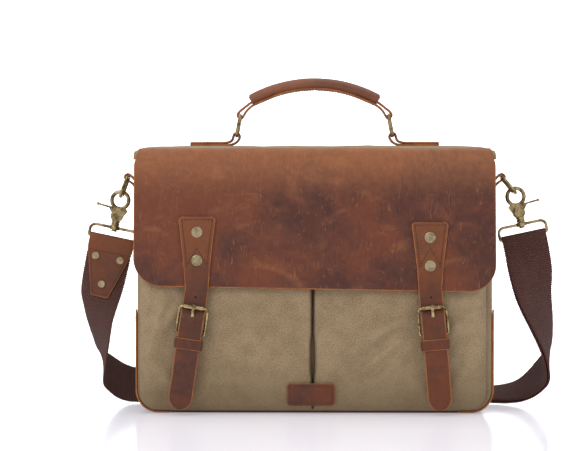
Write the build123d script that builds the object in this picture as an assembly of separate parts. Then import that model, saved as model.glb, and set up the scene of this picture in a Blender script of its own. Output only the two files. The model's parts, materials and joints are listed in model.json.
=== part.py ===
from build123d import *
import math
import os

# A canvas and leather messenger bag, in millimetres. +Z is up and the front faces -Y.
# The origin is the middle of the underside of the base. "Left" is the side at -X.

# ---- body ----
BAG_WIDTH = 406.0            # across the corner guards
BAG_DEPTH = 100.0            # front panel face to back panel face
BAG_HEIGHT = 295.0           # top edge of the canvas panels
BAG_CORNER = 26.0            # lower corners, over the guards
GUARD_T = 2.2                # leather of the guards and of the bottom panel
PANEL_T = 2.4                # lined canvas of the front and back panels
GUSSET_T = 2.4
GUARD_FOOT = 40.0            # how far a guard runs in under the base
GUARD_HIGH = 118.0           # guard height at its front and back edges
GUARD_LOW = 75.0             # guard height at the middle of the gusset
BOARD_T = 2.8
BOARD_MARGIN = 27.0          # board's end to the outside of the bag
LINING_T = 1.0
LINING_DROP = 5.0            # lining's hem below the top edge

# ---- front pockets ----
POCKET_DROP = 45.0           # pocket mouth below the top edge
POCKET_FLOOR = 8.0
POCKET_BULGE = 16.0          # how far the pockets stand out from the front panel
POCKET_MOUTH = 10.0          # outside depth at the mouth
POCKET_WALL = 2.0
POCKET_SLOPE = 100.0         # the face draws in over this height below the mouth
POCKET_CORNER = 20.0
POCKET_LEFT_INSET = 5.0      # pocket's side edge to the outside of the bag
POCKET_RIGHT_INSET = 9.0
SLIT_X = -2.0                # the slit between the pockets
SLIT_GAP = 2.4
PATCH_WIDTH = 54.0
PATCH_BOTTOM = 10.0
PATCH_HEIGHT = 25.0
PATCH_T = 2.0
PATCH_SHIFT = -2.0

# ---- flap ----
FLAP_T = 3.0                 # leather of the front flap
FLAP_DROP = 156.0            # hinge line to the lower edge at the middle
FLAP_FLARE = 12.5            # how far the lower edge stands forward of the hinge line
FLAP_SKEW = 7.0              # left lower corner above the right one
FLAP_CORNER = 32.0
FLAP_OVERHANG = 0.5          # past the guards at each side
CROWN_T = 2.6                # canvas top of the flap
CROWN_RISE = 5.6
HINGE_RISE = 2.0             # hinge lines above the panels' top edge
HINGE_FRONT = 8.5            # front hinge line forward of the front panel's face
HINGE_BACK = 2.0             # back hinge line behind the back panel's face
FIT_GAP = 0.3                # usual space between pieces that move on each other

# ---- rings, shared by the handle and the sides ----
RING_WIRE = 1.8              # wire radius
RING_INNER = 21.0            # inside width
RING_REACH = 24.0            # bar to bar
RING_CORNER = 2.6
TAB_WIDTH = 19.0
TAB_T = 2.4
BAR_PLAY = 0.35              # leather loop around a bar
OPEN_PLAY = 1.2              # the right handle tab's loop is slack

# ---- handle ----
HANDLE_SPAN = 90.0           # lower bars from the middle
HANDLE_LEAN = 10.5           # rings lean in by this many degrees
HANDLE_BAR_RISE = 11.5       # lower bars above the crown
HANDLE_TAB_LENGTH = 56.0
GRIP_END_IN = 11.6           # grip's end inside the upper bar
GRIP_END_UP = 17.0
GRIP_RISE = 19.3             # arch of the grip
GRIP_THICK = 14.0
GRIP_WIDE = 18.5
GRIP_ROUND = 5.0
HANDLE_STRAP_WIDTH = 14.0
HANDLE_STRAP_T = 2.4
HANDLE_STRAP_SINK = 3.4      # strap's middle below the grip's middle
CORE_R = 3.4
CORE_RISE = 1.4

# ---- side rings and snap hooks ----
SIDE_BAR_DROP = 27.0         # below the panels' top edge
SIDE_PAD_HEIGHT = 38.0
SIDE_TILT = {-1: 20.0, 1: 40.0}
HOOK_TILT = 12.0
EYE_OUTER = 12.0
EYE_DROP = 4.6               # eye's middle below the ring's lower bar
JAW_R = 2.25                 # radius of the jaws' wire
LAP_GAP = 0.15               # each side of the half-lapped joint
PIVOT_DROP = 18.6            # trigger's pivot below the eye's middle
PIVOT_R = 1.5
PIVOT_HEAD = 2.5
PIVOT_HEAD_T = 0.8
TRIGGER_PLATE = 5.1
BODY_PLATE = 7.4
LEVER_REACH = 24.5
LEVER_T = 2.3
NECK_R = 4.75
NECK_TOP = 24.0
COLLAR_R = 6.0
COLLAR_H = 5.0
LOOP_DROP = 32.6             # strap loop's upper bar below the eye's middle
POST_R = 2.5
POST_PLAY = 0.25
POST_HEAD = 3.25
POST_HEAD_T = 1.6
SPRING_WIRE = 0.28
SPRING_R = 2.7
SPRING_HEIGHT = 0.9

# ---- shoulder strap ----
WEBBING_WIDTH = 50.0
SIDE_BAR_OUT = 13.0 + (WEBBING_WIDTH - 50) / 2   # side ring's upper bar outside the guards
WEBBING_T = 2.4
LOOP_PLAY = 1.0              # loop's inside past the webbing at each side
LOOP_WIRE = 1.7
LOOP_HEIGHT = 13.8
LOOP_TOP_CORNER = 6.5
LOOP_LOW_CORNER = 1.9
END_T = 2.2                  # leather of the strap's left end
END_LENGTH = 68.0
END_STRAIGHT = 12.0
END_TIP_WIDTH = 22.0
END_EXTRA = 2.0              # leather wider than the webbing
END_STEPS = 16               # stations along the leather end
END_RIVET_R = 4.15
END_RIVET_POST = 1.5
SLIDER_X = 75.0
SLIDER_LENGTH = 30.0
SLIDER_BAR = 3.6             # end bars
SLIDER_MIDDLE = 4.0          # middle bar
SLIDER_T = 2.2
SLIDER_RIM = 4.0
SLIDER_LIFT = 5.3
DOUBLE_GAP = 4.0             # between the two layers' middles

# ---- closures ----
CLOSURE_X = {-1: -131.8, 1: 129.3}
CLOSURE_LEAN = {-1: 8.5, 1: -5.0}
CLOSURE_DROP = {-1: 0.0, 1: -6.0}    # tabs and rivets of this side, up or down
CLOSURE_T = 2.6
CLOSURE_WIDTH = 26.0
TAB_TOP_WIDTH = 42.0
TAB_WAIST_WIDTH = 28.0
TAB_TOP_UP = 81.0            # tab's top above the flap's lower edge
TAB_WAIST_UP = 17.0
RIVET_UP = (64.0, 32.0)
RIVET_R = 6.3
RIVET_T = 1.6
RIVET_POST = 1.5
WASHER_R = 3.0
WASHER_T = 0.8
TAIL_TIP = 135.5             # strap's tip below the flap's lower edge
TAIL_ROUND = 11.0            # length of the tip's rounding
BUCKLE_TOP = 20.5            # roller's bar below the flap's lower edge
BUCKLE_REACH = 30.5          # roller's bar to lower bar, measured down
BUCKLE_WIRE = 1.6
BUCKLE_PLAY = 1.3            # frame's inside past the strap at each side
BUCKLE_CORNER = 3.2
ROLLER_R = 2.45
ROLLER_LENGTH = 21.5
PRONG_T = 2.0
PRONG_WIDTH = 3.0
KEEPER_T = 2.2
KEEPER_TOP = 55.5            # below the flap's lower edge
KEEPER_HEIGHT = 12.5
BUCKLE_TAB_WIDTH = 25.0
BUCKLE_TAB_FOOT = 95.0
SNAP_DROP = 81.0
SNAP_R = 7.0
SNAP_T = 2.0

# ---- worked out from the above ----
HALF_WIDTH = BAG_WIDTH / 2
HALF_DEPTH = BAG_DEPTH / 2
SHELL_HALF = HALF_WIDTH - GUARD_T
SHELL_CORNER = BAG_CORNER - GUARD_T
INNER_HALF = SHELL_HALF - GUSSET_T
INNER_CORNER = SHELL_CORNER - GUSSET_T
BOARD_Z = GUARD_T + GUSSET_T
HINGE_Z = BAG_HEIGHT + HINGE_RISE
FRONT_HINGE_Y = -(HALF_DEPTH + HINGE_FRONT)
BACK_HINGE_Y = HALF_DEPTH + HINGE_BACK
FLAP_EDGE_Z = HINGE_Z - FLAP_DROP
CROWN_TOP = HINGE_Z + CROWN_RISE + CROWN_T / 2
POCKET_TOP = BAG_HEIGHT - POCKET_DROP
POCKET_FACE = -(HALF_DEPTH + POCKET_BULGE)
RING_WIDTH = RING_INNER + 2 * RING_WIRE
TAB_LOOP_R = RING_WIRE + BAR_PLAY + TAB_T
JAW_MIDDLE = EYE_OUTER - JAW_R
LOOP_WIDTH = WEBBING_WIDTH + 2 * LOOP_PLAY + 2 * LOOP_WIRE


# ---- helpers ----
def across(sketch, x0, x1):
    """A profile drawn in (Y, Z), carried from x0 to x1."""
    return extrude(Plane.YZ.offset(x0) * sketch, x1 - x0)


def front_to_back(sketch, y0, y1):
    """An outline drawn in (X, Z), carried from y0 back to y1."""
    return extrude(Plane.XZ.offset(-y1) * sketch, y1 - y0)


def polygon(points):
    """A face inside straight edges through these (a, b) points."""
    return make_face(Polyline(*points, close=True))


def disc(centre, radius):
    return Pos(*centre) * Circle(radius)


def box(x0, x1, y0, y1, z0, z1):
    middle = Pos((x0 + x1) / 2, (y0 + y1) / 2, (z0 + z1) / 2)
    return middle * Box(x1 - x0, y1 - y0, z1 - z0)


def rod(start, end, radius):
    """A round rod between two points."""
    reach = Vector(*end) - Vector(*start)
    place = Plane(origin=start, z_dir=reach)
    return extrude(place * Circle(radius), reach.length)


def strip(points, thickness):
    """A strip of even thickness about a line of (a, b) points, mitred at its bends."""
    upper = []
    lower = []
    for i, (a, b) in enumerate(points):
        before = points[max(i - 1, 0)]
        after = points[min(i + 1, len(points) - 1)]
        arriving = Vector(a - before[0], b - before[1]) if i else None
        leaving = Vector(after[0] - a, after[1] - b) if i < len(points) - 1 else None
        arriving = (arriving or leaving).normalized()
        leaving = (leaving or arriving).normalized()
        along = (arriving + leaving).normalized()
        reach = thickness / 2 / along.dot(leaving)
        upper.append((a - along.Y * reach, b + along.X * reach))
        lower.append((a + along.Y * reach, b - along.X * reach))
    return polygon(upper + lower[::-1])


def rounded_bottom(x0, x1, z0, z1, corner):
    """An upright outline, square at the top, with rounded lower corners."""
    face = Pos((x0 + x1) / 2, (z0 + z1) / 2) * Rectangle(x1 - x0, z1 - z0)
    return fillet(face.vertices().sort_by(Axis.Y)[:2], corner)


def wire_ring(place, width, height, wire, low_corner, top_corner):
    """A rounded rectangular ring of round wire, its sizes measured between wire middles."""
    face = Rectangle(width, height)
    face = fillet(face.vertices().sort_by(Axis.Y)[:2], low_corner)
    face = fillet(face.vertices().sort_by(Axis.Y)[-2:], top_corner)
    path = (place * face).wire()
    section = Plane(origin=path @ 0, z_dir=path % 0) * Circle(wire)
    return sweep(section, path)


def smooth(points, steps):
    """Points of an even curve through the given points, with steps in each span."""
    curve = []
    for i in range(len(points) - 1):
        before = points[max(i - 1, 0)]
        here = points[i]
        there = points[i + 1]
        after = points[min(i + 2, len(points) - 1)]
        for k in range(steps):
            t = k / steps
            bend = before * -1 + here * 3 - there * 3 + after
            turn = before * 2 - here * 5 + there * 4 - after
            pull = there - before
            curve.append(here + (pull * t + turn * t ** 2 + bend * t ** 3) * 0.5)
    return curve + [points[-1]]


def ribbon(edges, thickness):
    """A flat band through pairs of edge points, of even thickness."""
    middle = [(outer + inner) * 0.5 for outer, inner in edges]
    corners = []
    for i, (outer, inner) in enumerate(edges):
        along = middle[min(i + 1, len(edges) - 1)] - middle[max(i - 1, 0)]
        half = along.cross(inner - outer).normalized() * (thickness / 2)
        corners.append([outer + half, inner + half, inner - half, outer - half])
    faces = [Face(Wire.make_polygon(corners[0])), Face(Wire.make_polygon(corners[-1][::-1]))]
    for here, there in zip(corners, corners[1:]):
        for k in range(4):
            quad = [here[k], there[k], there[(k + 1) % 4], here[(k + 1) % 4]]
            hub = (quad[0] + quad[1] + quad[2] + quad[3]) * 0.25
            faces += [Face(Wire.make_polygon([hub, quad[j], quad[(j + 1) % 4]])) for j in range(4)]
    return Solid(Shell(faces))


# ---- body of the bag ----
def shell_outline(inset=0.0, bottom=GUARD_T, top=BAG_HEIGHT):
    half = SHELL_HALF - inset
    return rounded_bottom(-half, half, bottom, top, SHELL_CORNER - inset)


def make_panels():
    panel = shell_outline()
    rim = panel - shell_outline(GUSSET_T, GUARD_T + GUSSET_T, BAG_HEIGHT + 1)
    side = HALF_DEPTH - PANEL_T
    return {
        "front_panel": front_to_back(panel, -HALF_DEPTH, -side),
        "back_panel": front_to_back(panel, side, HALF_DEPTH),
        "gusset": front_to_back(rim, -side, side),
    }


def make_base():
    foot = HALF_WIDTH - GUARD_FOOT
    edge = HALF_DEPTH - 0.5
    board_half = HALF_WIDTH - BOARD_MARGIN
    board_edge = HALF_DEPTH - PANEL_T - 1.5
    arch = ThreePointArc((-edge, GUARD_HIGH), (0, GUARD_LOW), (edge, GUARD_HIGH))
    sides = Polyline((edge, GUARD_HIGH), (edge, -1), (-edge, -1), (-edge, GUARD_HIGH))
    allowed = make_face(arch + sides)
    outer = rounded_bottom(-HALF_WIDTH, HALF_WIDTH, 0, BAG_HEIGHT, BAG_CORNER)
    skin = front_to_back(outer - shell_outline(0, GUARD_T, BAG_HEIGHT + 1), -edge, edge)
    right = skin & across(allowed, foot, HALF_WIDTH + 1)
    return {
        "guard_right": right,
        "guard_left": mirror(right, about=Plane.YZ),
        "bottom_panel": box(-foot + FIT_GAP, foot - FIT_GAP, -edge, edge, 0, GUARD_T),
        "base_board": box(-board_half, board_half, -board_edge, board_edge, BOARD_Z, BOARD_Z + BOARD_T),
    }


def make_lining():
    floor = BOARD_Z + BOARD_T
    top = BAG_HEIGHT - LINING_DROP
    side = HALF_DEPTH - PANEL_T
    inner = INNER_HALF - LINING_T
    outside = rounded_bottom(-INNER_HALF, INNER_HALF, floor, top, INNER_CORNER)
    inside = rounded_bottom(-inner, inner, floor + LINING_T, top + 1, INNER_CORNER - LINING_T)
    return front_to_back(outside, -side, side) - front_to_back(inside, LINING_T - side, side - LINING_T)


def pocket_profile(inset):
    """Side view of a front pocket, drawn in (Y, Z); the inset one is its hollow."""
    back = -HALF_DEPTH + inset / 2
    mouth = -HALF_DEPTH - POCKET_MOUTH + inset
    face = POCKET_FACE + inset
    return polygon([
        (back, POCKET_FLOOR + inset),
        (POCKET_FACE + (POCKET_BULGE + inset) / 2, POCKET_FLOOR + inset),
        (face + 2, POCKET_FLOOR + 12 + inset / 2),
        (face, POCKET_FLOOR + 32),
        (face, POCKET_TOP - POCKET_SLOPE),
        (mouth, POCKET_TOP),
        (mouth, POCKET_TOP + POCKET_WALL),
        (back, POCKET_TOP + POCKET_WALL),
    ])


def make_pocket(x0, x1, rounded_side):
    """One open-topped pocket; its corner on the rounded side follows the bag's corner."""
    solids = []
    for inset in (0.0, POCKET_WALL):
        profile = across(pocket_profile(inset), x0 + inset, x1 - inset)
        tall = POCKET_TOP - POCKET_FLOOR
        face = Pos((x0 + x1) / 2, POCKET_FLOOR + inset + tall / 2) * Rectangle(x1 - x0 - 2 * inset, tall)
        low = face.vertices().sort_by(Axis.Y)[:2].sort_by(Axis.X)
        corner = low[0] if rounded_side < 0 else low[1]
        outline = fillet(corner, POCKET_CORNER - inset)
        solids.append(profile & front_to_back(outline, POCKET_FACE - 1, 1 - HALF_DEPTH))
    return solids[0] - solids[1]


def make_pockets():
    left_edge = -HALF_WIDTH + POCKET_LEFT_INSET
    right_edge = HALF_WIDTH - POCKET_RIGHT_INSET
    top = PATCH_BOTTOM + PATCH_HEIGHT
    seat = PATCH_T / 2 + 0.2
    bends = [
        (POCKET_FACE + POCKET_BULGE / 2 - 1 - seat, PATCH_BOTTOM),
        (POCKET_FACE + 1.8 - seat, POCKET_FLOOR + 12),
        (POCKET_FACE + 0.3 - seat, top),
    ]
    middle = SLIT_X + PATCH_SHIFT
    patch = across(strip(bends, PATCH_T), middle - PATCH_WIDTH / 2, middle + PATCH_WIDTH / 2)
    return {
        "pocket_left": make_pocket(left_edge, SLIT_X - SLIT_GAP / 2, -1),
        "pocket_right": make_pocket(SLIT_X + SLIT_GAP / 2, right_edge, 1),
        "slit_patch": patch,
    }


# ---- flap ----
def flap_point(up, off=0.0):
    """(y, z) on the front flap: up from its lower edge, off its middle towards the front."""
    along = Vector(FLAP_FLARE, FLAP_DROP).normalized()
    y = FRONT_HINGE_Y - FLAP_FLARE + along.X * up - along.Y * off
    z = FLAP_EDGE_Z + along.Y * up + along.X * off
    return y, z


def flap_plane(x, up, off):
    """A plane on the flap's front with its normal pointing forward."""
    y, z = flap_point(up, off)
    out = Vector(0, -FLAP_DROP, FLAP_FLARE)
    return Plane(origin=(x, y, z), x_dir=(1, 0, 0), z_dir=out)


def flap_outline():
    half = HALF_WIDTH + FLAP_OVERHANG
    low = FLAP_EDGE_Z - FLAP_SKEW / 2
    high = FLAP_EDGE_Z + FLAP_SKEW / 2
    top = HINGE_Z + FLAP_T
    face = polygon([(-half, high), (half, low), (half, top), (-half, top)])
    return fillet(face.vertices().sort_by(Axis.Y)[:2], FLAP_CORNER)


def make_flap():
    half = HALF_WIDTH + FLAP_OVERHANG
    hinge = (FRONT_HINGE_Y, HINGE_Z)
    low = flap_point(-FLAP_SKEW)
    profile = strip([hinge, low], FLAP_T) + disc(hinge, FLAP_T / 2)
    depth = (FRONT_HINGE_Y - FLAP_FLARE - FLAP_T - 1, FRONT_HINGE_Y + FLAP_T)
    leather = across(profile, -half, half) & front_to_back(flap_outline(), *depth)
    front = FRONT_HINGE_Y + FLAP_T / 2 + FIT_GAP + 0.1
    middle = (front + BACK_HINGE_Y) / 2
    bow = ((BACK_HINGE_Y - front) ** 2 / 4 + CROWN_RISE ** 2) / (2 * CROWN_RISE)
    centre = (middle, HINGE_Z + CROWN_RISE - bow)
    ring = disc(centre, bow + CROWN_T / 2) - disc(centre, bow - CROWN_T / 2)
    slice_up = polygon([centre, (front, HINGE_Z), (front, HINGE_Z + 40), (BACK_HINGE_Y, HINGE_Z + 40),
                        (BACK_HINGE_Y, HINGE_Z)])
    crown = (ring & slice_up) + disc((BACK_HINGE_Y, HINGE_Z), CROWN_T / 2)
    for side in (-1, 1):
        for up in RIVET_UP:
            shaft = flap_plane(CLOSURE_X[side], up + CLOSURE_DROP[side], -FLAP_T)
            leather -= extrude(shaft * Circle(RIVET_POST + 0.1), 2 * FLAP_T)
    return {
        "flap_leather": leather,
        "flap_canvas": across(crown, -HALF_WIDTH, HALF_WIDTH),
    }


# ---- handle ----
HANDLE_BAR = (HANDLE_SPAN, CROWN_TOP + HANDLE_BAR_RISE)
HANDLE_TOP_BAR = (
    HANDLE_BAR[0] - RING_REACH * math.sin(math.radians(HANDLE_LEAN)),
    HANDLE_BAR[1] + RING_REACH * math.cos(math.radians(HANDLE_LEAN)),
)
GRIP_END = (HANDLE_TOP_BAR[0] - GRIP_END_IN, HANDLE_TOP_BAR[1] + GRIP_END_UP)


def bar_ring(low, top):
    """A rectangular ring with its two bars along Y, through these (x, z) places."""
    up = Vector(top[0] - low[0], 0, top[1] - low[1])
    middle = ((low[0] + top[0]) / 2, 0, (low[1] + top[1]) / 2)
    place = Plane(origin=middle, x_dir=(0, 1, 0), z_dir=Vector(0, 1, 0).cross(up))
    return wire_ring(place, RING_WIDTH, RING_REACH, RING_WIRE, RING_CORNER, RING_CORNER)


def loop_face(bar, root, root_half, outer, hole):
    """A leather loop seen from its end: round the bar, drawn in to the root."""
    away = Vector(root[0] - bar[0], root[1] - bar[1]).normalized()
    side = Vector(-away.Y, away.X)
    ends = [
        (bar[0] + side.X * outer, bar[1] + side.Y * outer),
        (root[0] + side.X * root_half, root[1] + side.Y * root_half),
        (root[0] - side.X * root_half, root[1] - side.Y * root_half),
        (bar[0] - side.X * outer, bar[1] - side.Y * outer),
    ]
    return polygon(ends) + disc(bar, outer) - disc(bar, hole)


def make_handle_tab(play):
    """The right handle tab: two layers on the crown and a loop round the ring's bar."""
    hole = RING_WIRE + play
    inner = HANDLE_SPAN - TAB_T
    thick = 2 * TAB_T - 0.4
    pad = polygon([
        (inner, CROWN_TOP), (inner + HANDLE_TAB_LENGTH, CROWN_TOP),
        (inner + HANDLE_TAB_LENGTH, CROWN_TOP + TAB_T / 2), (inner + HANDLE_TAB_LENGTH - 14, CROWN_TOP + thick),
        (inner, CROWN_TOP + thick),
    ])
    root = (HANDLE_SPAN + 5, CROWN_TOP + TAB_T)
    face = pad + loop_face(HANDLE_BAR, root, TAB_T + 3, hole + TAB_T, hole)
    floor = Pos(0, CROWN_TOP - 20) * Rectangle(4 * HANDLE_SPAN, 40)
    face = face - floor - disc(HANDLE_BAR, hole)
    return front_to_back(face, -TAB_WIDTH / 2, TAB_WIDTH / 2)


def make_handle():
    bow = (GRIP_END[0] ** 2 + GRIP_RISE ** 2) / (2 * GRIP_RISE)
    half_angle = math.degrees(math.asin(GRIP_END[0] / bow))
    apex = GRIP_END[1] + GRIP_RISE
    axis = Axis((0, 0, apex - bow), (0, 1, 0))
    band = Pos(0, -HANDLE_STRAP_SINK) * Rectangle(HANDLE_STRAP_WIDTH, HANDLE_STRAP_T)
    core = disc((0, CORE_RISE), CORE_R)
    grip = RectangleRounded(GRIP_WIDE, GRIP_THICK, GRIP_ROUND) - band - core

    def arch(section):
        start = (Plane.YZ * Pos(0, apex) * section).rotate(axis, -half_angle)
        return revolve(start, axis, 2 * half_angle)

    lean = math.radians(half_angle)
    strap_bow = bow - HANDLE_STRAP_SINK
    root = (strap_bow * math.sin(lean), apex - bow + strap_bow * math.cos(lean))
    hole = RING_WIRE + BAR_PLAY
    loop = loop_face(HANDLE_TOP_BAR, root, HANDLE_STRAP_T, hole + HANDLE_STRAP_T, hole)
    end = front_to_back(loop, -HANDLE_STRAP_WIDTH / 2, HANDLE_STRAP_WIDTH / 2)
    limit = Plane(origin=(root[0], 0, root[1]), z_dir=(-math.cos(lean), 0, math.sin(lean)))
    end -= extrude(limit * Rectangle(80, 80), 30)
    tabs = {"handle_tab_left": mirror(make_handle_tab(BAR_PLAY), about=Plane.YZ)}
    tabs["handle_tab_right"] = make_handle_tab(OPEN_PLAY)
    ring = bar_ring(HANDLE_BAR, HANDLE_TOP_BAR)
    return tabs | {
        "handle_ring_right": ring,
        "handle_ring_left": mirror(ring, about=Plane.YZ),
        "handle_strap": arch(band) + end + mirror(end, about=Plane.YZ),
        "handle_grip": arch(grip),
        "handle_core": arch(core),
    }


# ---- side rings, snap hooks and strap loops ----
def side_bars(side):
    """(x, z) of a side ring's upper and lower bars."""
    tilt = math.radians(SIDE_TILT[side])
    upper = (side * (HALF_WIDTH + SIDE_BAR_OUT), BAG_HEIGHT - SIDE_BAR_DROP)
    lower = (upper[0] + side * RING_REACH * math.sin(tilt), upper[1] - RING_REACH * math.cos(tilt))
    return upper, lower


def hook_down(side):
    lean = math.radians(HOOK_TILT)
    return Vector(side * math.sin(lean), 0, -math.cos(lean))


def hook_point(side, drop):
    """A point on a hook's axis, measured down from the ring's lower bar."""
    lower = side_bars(side)[1]
    return Vector(lower[0], 0, lower[1]) + hook_down(side) * drop


def make_side_tab():
    """The right side tab: a sewn pad on the gusset and a loop round the ring's bar."""
    bar = side_bars(1)[0]
    root = (SHELL_HALF, bar[1] - 2)
    hole = RING_WIRE + BAR_PLAY
    face = loop_face(bar, root, TAB_T + 2.5, TAB_LOOP_R, hole)
    wall = Pos(SHELL_HALF - 20, bar[1]) * Rectangle(40, 80)
    low = bar[1] - SIDE_PAD_HEIGHT
    pad = polygon([(SHELL_HALF, low), (SHELL_HALF + TAB_T, low),
                   (SHELL_HALF + TAB_T, root[1]), (SHELL_HALF, root[1])])
    return front_to_back((face - wall) + pad, -TAB_WIDTH / 2, TAB_WIDTH / 2)


def sector(first, last):
    """A wedge about the eye's middle, between two angles in degrees, under 270 wide."""
    steps = 6
    rim = [first + (last - first) * k / steps for k in range(steps + 1)]
    far = 3 * EYE_OUTER
    points = [(far * math.cos(math.radians(a)), far * math.sin(math.radians(a))) for a in rim]
    return polygon([(0, 0)] + points)


def hook_ring(first, last, y0, y1):
    eye = Rot(90, 0, 0) * Torus(JAW_MIDDLE, JAW_R)
    return eye & front_to_back(sector(first, last), y0, y1)


def make_trigger():
    """The swinging jaw with its lever, about the eye's middle; it laps in front."""
    pivot = (0, -PIVOT_DROP)
    jaw = hook_ring(-50, 95, -JAW_R, JAW_R) + hook_ring(-100, -50, -JAW_R, -LAP_GAP)
    plate = polygon([(0.5, -10.5), (7, -7.5), (11.2, -11), (TRIGGER_PLATE, -PIVOT_DROP),
                     (-TRIGGER_PLATE, -PIVOT_DROP), (-2, -10.5)])
    lever = polygon([(8, -9 - LEVER_T), (LEVER_REACH, -7.8 - LEVER_T), (LEVER_REACH, -7.8), (8.5, -9)])
    jaw += front_to_back(plate + disc(pivot, TRIGGER_PLATE), -JAW_R, -LAP_GAP)
    jaw += front_to_back(lever, -JAW_R, JAW_R - 0.8)
    jaw += Pos(LEVER_REACH, -0.4, -7.8 - LEVER_T / 2) * Sphere(LEVER_T * 0.8)
    return jaw - front_to_back(disc(pivot, PIVOT_R + 0.15), -JAW_R - 1, JAW_R)


def make_hook_body():
    """The fixed jaw, neck and swivel post, about the eye's middle."""
    pivot = (0, -PIVOT_DROP)
    body = hook_ring(97, 230, -JAW_R, JAW_R) + hook_ring(230, 280, LAP_GAP, JAW_R)
    plate = polygon([(-0.5, -10.5), (-7, -7.5), (-11.2, -11), (-BODY_PLATE, -PIVOT_DROP),
                     (BODY_PLATE, -PIVOT_DROP), (2, -10.5)])
    body += front_to_back(plate + disc(pivot, BODY_PLATE), LAP_GAP, JAW_R)
    neck_end = LOOP_DROP - COLLAR_H / 2 - FIT_GAP
    post_end = LOOP_DROP + COLLAR_H / 2 + FIT_GAP + POST_HEAD_T
    body += rod((0, 0, -NECK_TOP), (0, 0, -neck_end), NECK_R)
    body -= Pos(0, 0, -(NECK_TOP + neck_end) / 2) * Torus(NECK_R, 0.6)
    body += rod((0, 0, -neck_end), (0, 0, -post_end), POST_R)
    body += rod((0, 0, POST_HEAD_T - post_end), (0, 0, -post_end), POST_HEAD)
    body -= front_to_back(disc(pivot, PIVOT_R), -JAW_R, JAW_R + 1)
    return body - front_to_back(disc(pivot, SPRING_R + SPRING_WIRE + 0.4), LAP_GAP - 0.1, JAW_R - 0.5)


def make_pivot_rivet():
    pivot = (0, -PIVOT_DROP)
    front = -JAW_R - 0.2
    rivet = front_to_back(disc(pivot, PIVOT_R), front - PIVOT_HEAD_T, JAW_R + PIVOT_HEAD_T)
    rivet += front_to_back(disc(pivot, PIVOT_HEAD), front - PIVOT_HEAD_T, front)
    return rivet + front_to_back(disc(pivot, PIVOT_HEAD), JAW_R, JAW_R + PIVOT_HEAD_T)


def make_trigger_spring():
    coil = Helix(pitch=SPRING_HEIGHT / 1.5, height=SPRING_HEIGHT, radius=SPRING_R)
    wire = sweep(Plane(origin=coil @ 0, z_dir=coil % 0) * Circle(SPRING_WIRE), coil)
    return Pos(0, JAW_R - 0.5 - SPRING_WIRE - 0.05, -PIVOT_DROP) * Rot(90, 0, 0) * wire


def make_strap_loop():
    """The strap's metal loop with its swivel collar, about the eye's middle."""
    low = LOOP_DROP + LOOP_HEIGHT
    place = Plane(origin=(0, 0, -(LOOP_DROP + low) / 2), x_dir=(1, 0, 0), z_dir=(0, -1, 0))
    loop = wire_ring(place, LOOP_WIDTH, LOOP_HEIGHT, LOOP_WIRE, LOOP_LOW_CORNER, LOOP_TOP_CORNER)
    half = COLLAR_H / 2
    collar = rod((0, 0, half - LOOP_DROP), (0, 0, -half - LOOP_DROP), COLLAR_R)
    collar = fillet(collar.edges().filter_by(GeomType.CIRCLE), 1.4)
    hole = rod((0, 0, -LOOP_DROP + COLLAR_H), (0, 0, -LOOP_DROP - COLLAR_H), POST_R + POST_PLAY)
    return loop + collar - hole


def make_side(side):
    """Ring, hook and strap loop of one side. The left hook is turned half round."""
    upper, lower = side_bars(side)
    eye = hook_point(side, EYE_DROP)
    place = Pos(eye) * Rot(0, -side * HOOK_TILT, 0) * Rot(0, 0, 0 if side > 0 else 180)
    name = "right" if side > 0 else "left"
    tab = make_side_tab()
    return {
        "side_tab_" + name: tab if side > 0 else mirror(tab, about=Plane.YZ),
        "side_ring_" + name: bar_ring(lower, upper),
        "hook_body_" + name: place * make_hook_body(),
        "hook_trigger_" + name: place * make_trigger(),
        "trigger_rivet_" + name: place * make_pivot_rivet(),
        "trigger_spring_" + name: place * make_trigger_spring(),
        "strap_loop_" + name: place * make_strap_loop(),
    }


# ---- shoulder strap ----
# The strap's hand-laid route, left to right: outer edge, inner edge. It hangs beside the
# bag at the left, lies on the ground behind it and rises at the right.
ROUTE_HALF_WIDTH = 203.0     # the bag that the route was laid round
ROUTE_HALF_DEPTH = 50.0
ROUTE_BAR_HEIGHT = 195.3
ROUTE_WIDTH = 50.0
ROUTE_LEFT = [
    ((-266.6, 18, 105), (-232.9, -18, 100.5)),
    ((-259.5, 26, 80), (-236.5, -18, 78.5)),
    ((-256, 35, 67), (-240, -12, 59.5)),
    ((-252, 42, 62), (-243, -4, 44)),
    ((-246, 50, 59), (-245.6, 8, 27.5)),
    ((-238, 62, 52), (-240.7, 24, 17)),
    ((-228, 74, 44), (-231.7, 40, 7.5)),
    ((-214, 86, 38), (-216.8, 54, 1.6)),
    ((-178, 97, 30), (-180, 57, 1.4)),
    ((-128, 104, 22), (-130, 59.5, 1.3)),
    ((-69, 108, 16), (-70, 60.5, 1.3)),
    ((0, 110, 13.5), (0, 61.5, 1.3)),
]
ROUTE_RIGHT = [
    ((143, 108, 12), (139, 60, 1.3)),
    ((208, 101, 12), (202, 54, 1.3)),
    ((234, 92, 16), (225.5, 46, 1.6)),
    ((248.5, 82, 23.6), (243.5, 38, 4.2)),
    ((259.5, 70, 36), (257.5, 28, 11)),
    ((266, 58, 46.5), (266.7, 16, 20.5)),
    ((271.5, 46, 56), (271.5, 2, 31)),
    ((276, 38, 64), (270, -9, 45)),
    ((278.2, 29, 78), (264, -17, 66)),
    ((277.5, 19, 103), (251, -22, 92.5)),
    ((274.5, 9, 134), (236, -20, 121.5)),
    ((274.5, 3, 163), (226.5, -8, 151)),
]
# The main layer's rise over the slider's bars: distance along, height.
MAIN_OVER_SLIDER = [(-40, 0), (-24, 3.8), (-16, 7.8), (-13.2, 8.1), (-10.2, 7.4), (-6, 1.6), (-4, 0),
                    (4, 0), (6, 1.6), (10.2, 7.4), (13.2, 8.1), (16, 7.8), (24, 3.8), (40, 0)]
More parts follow.
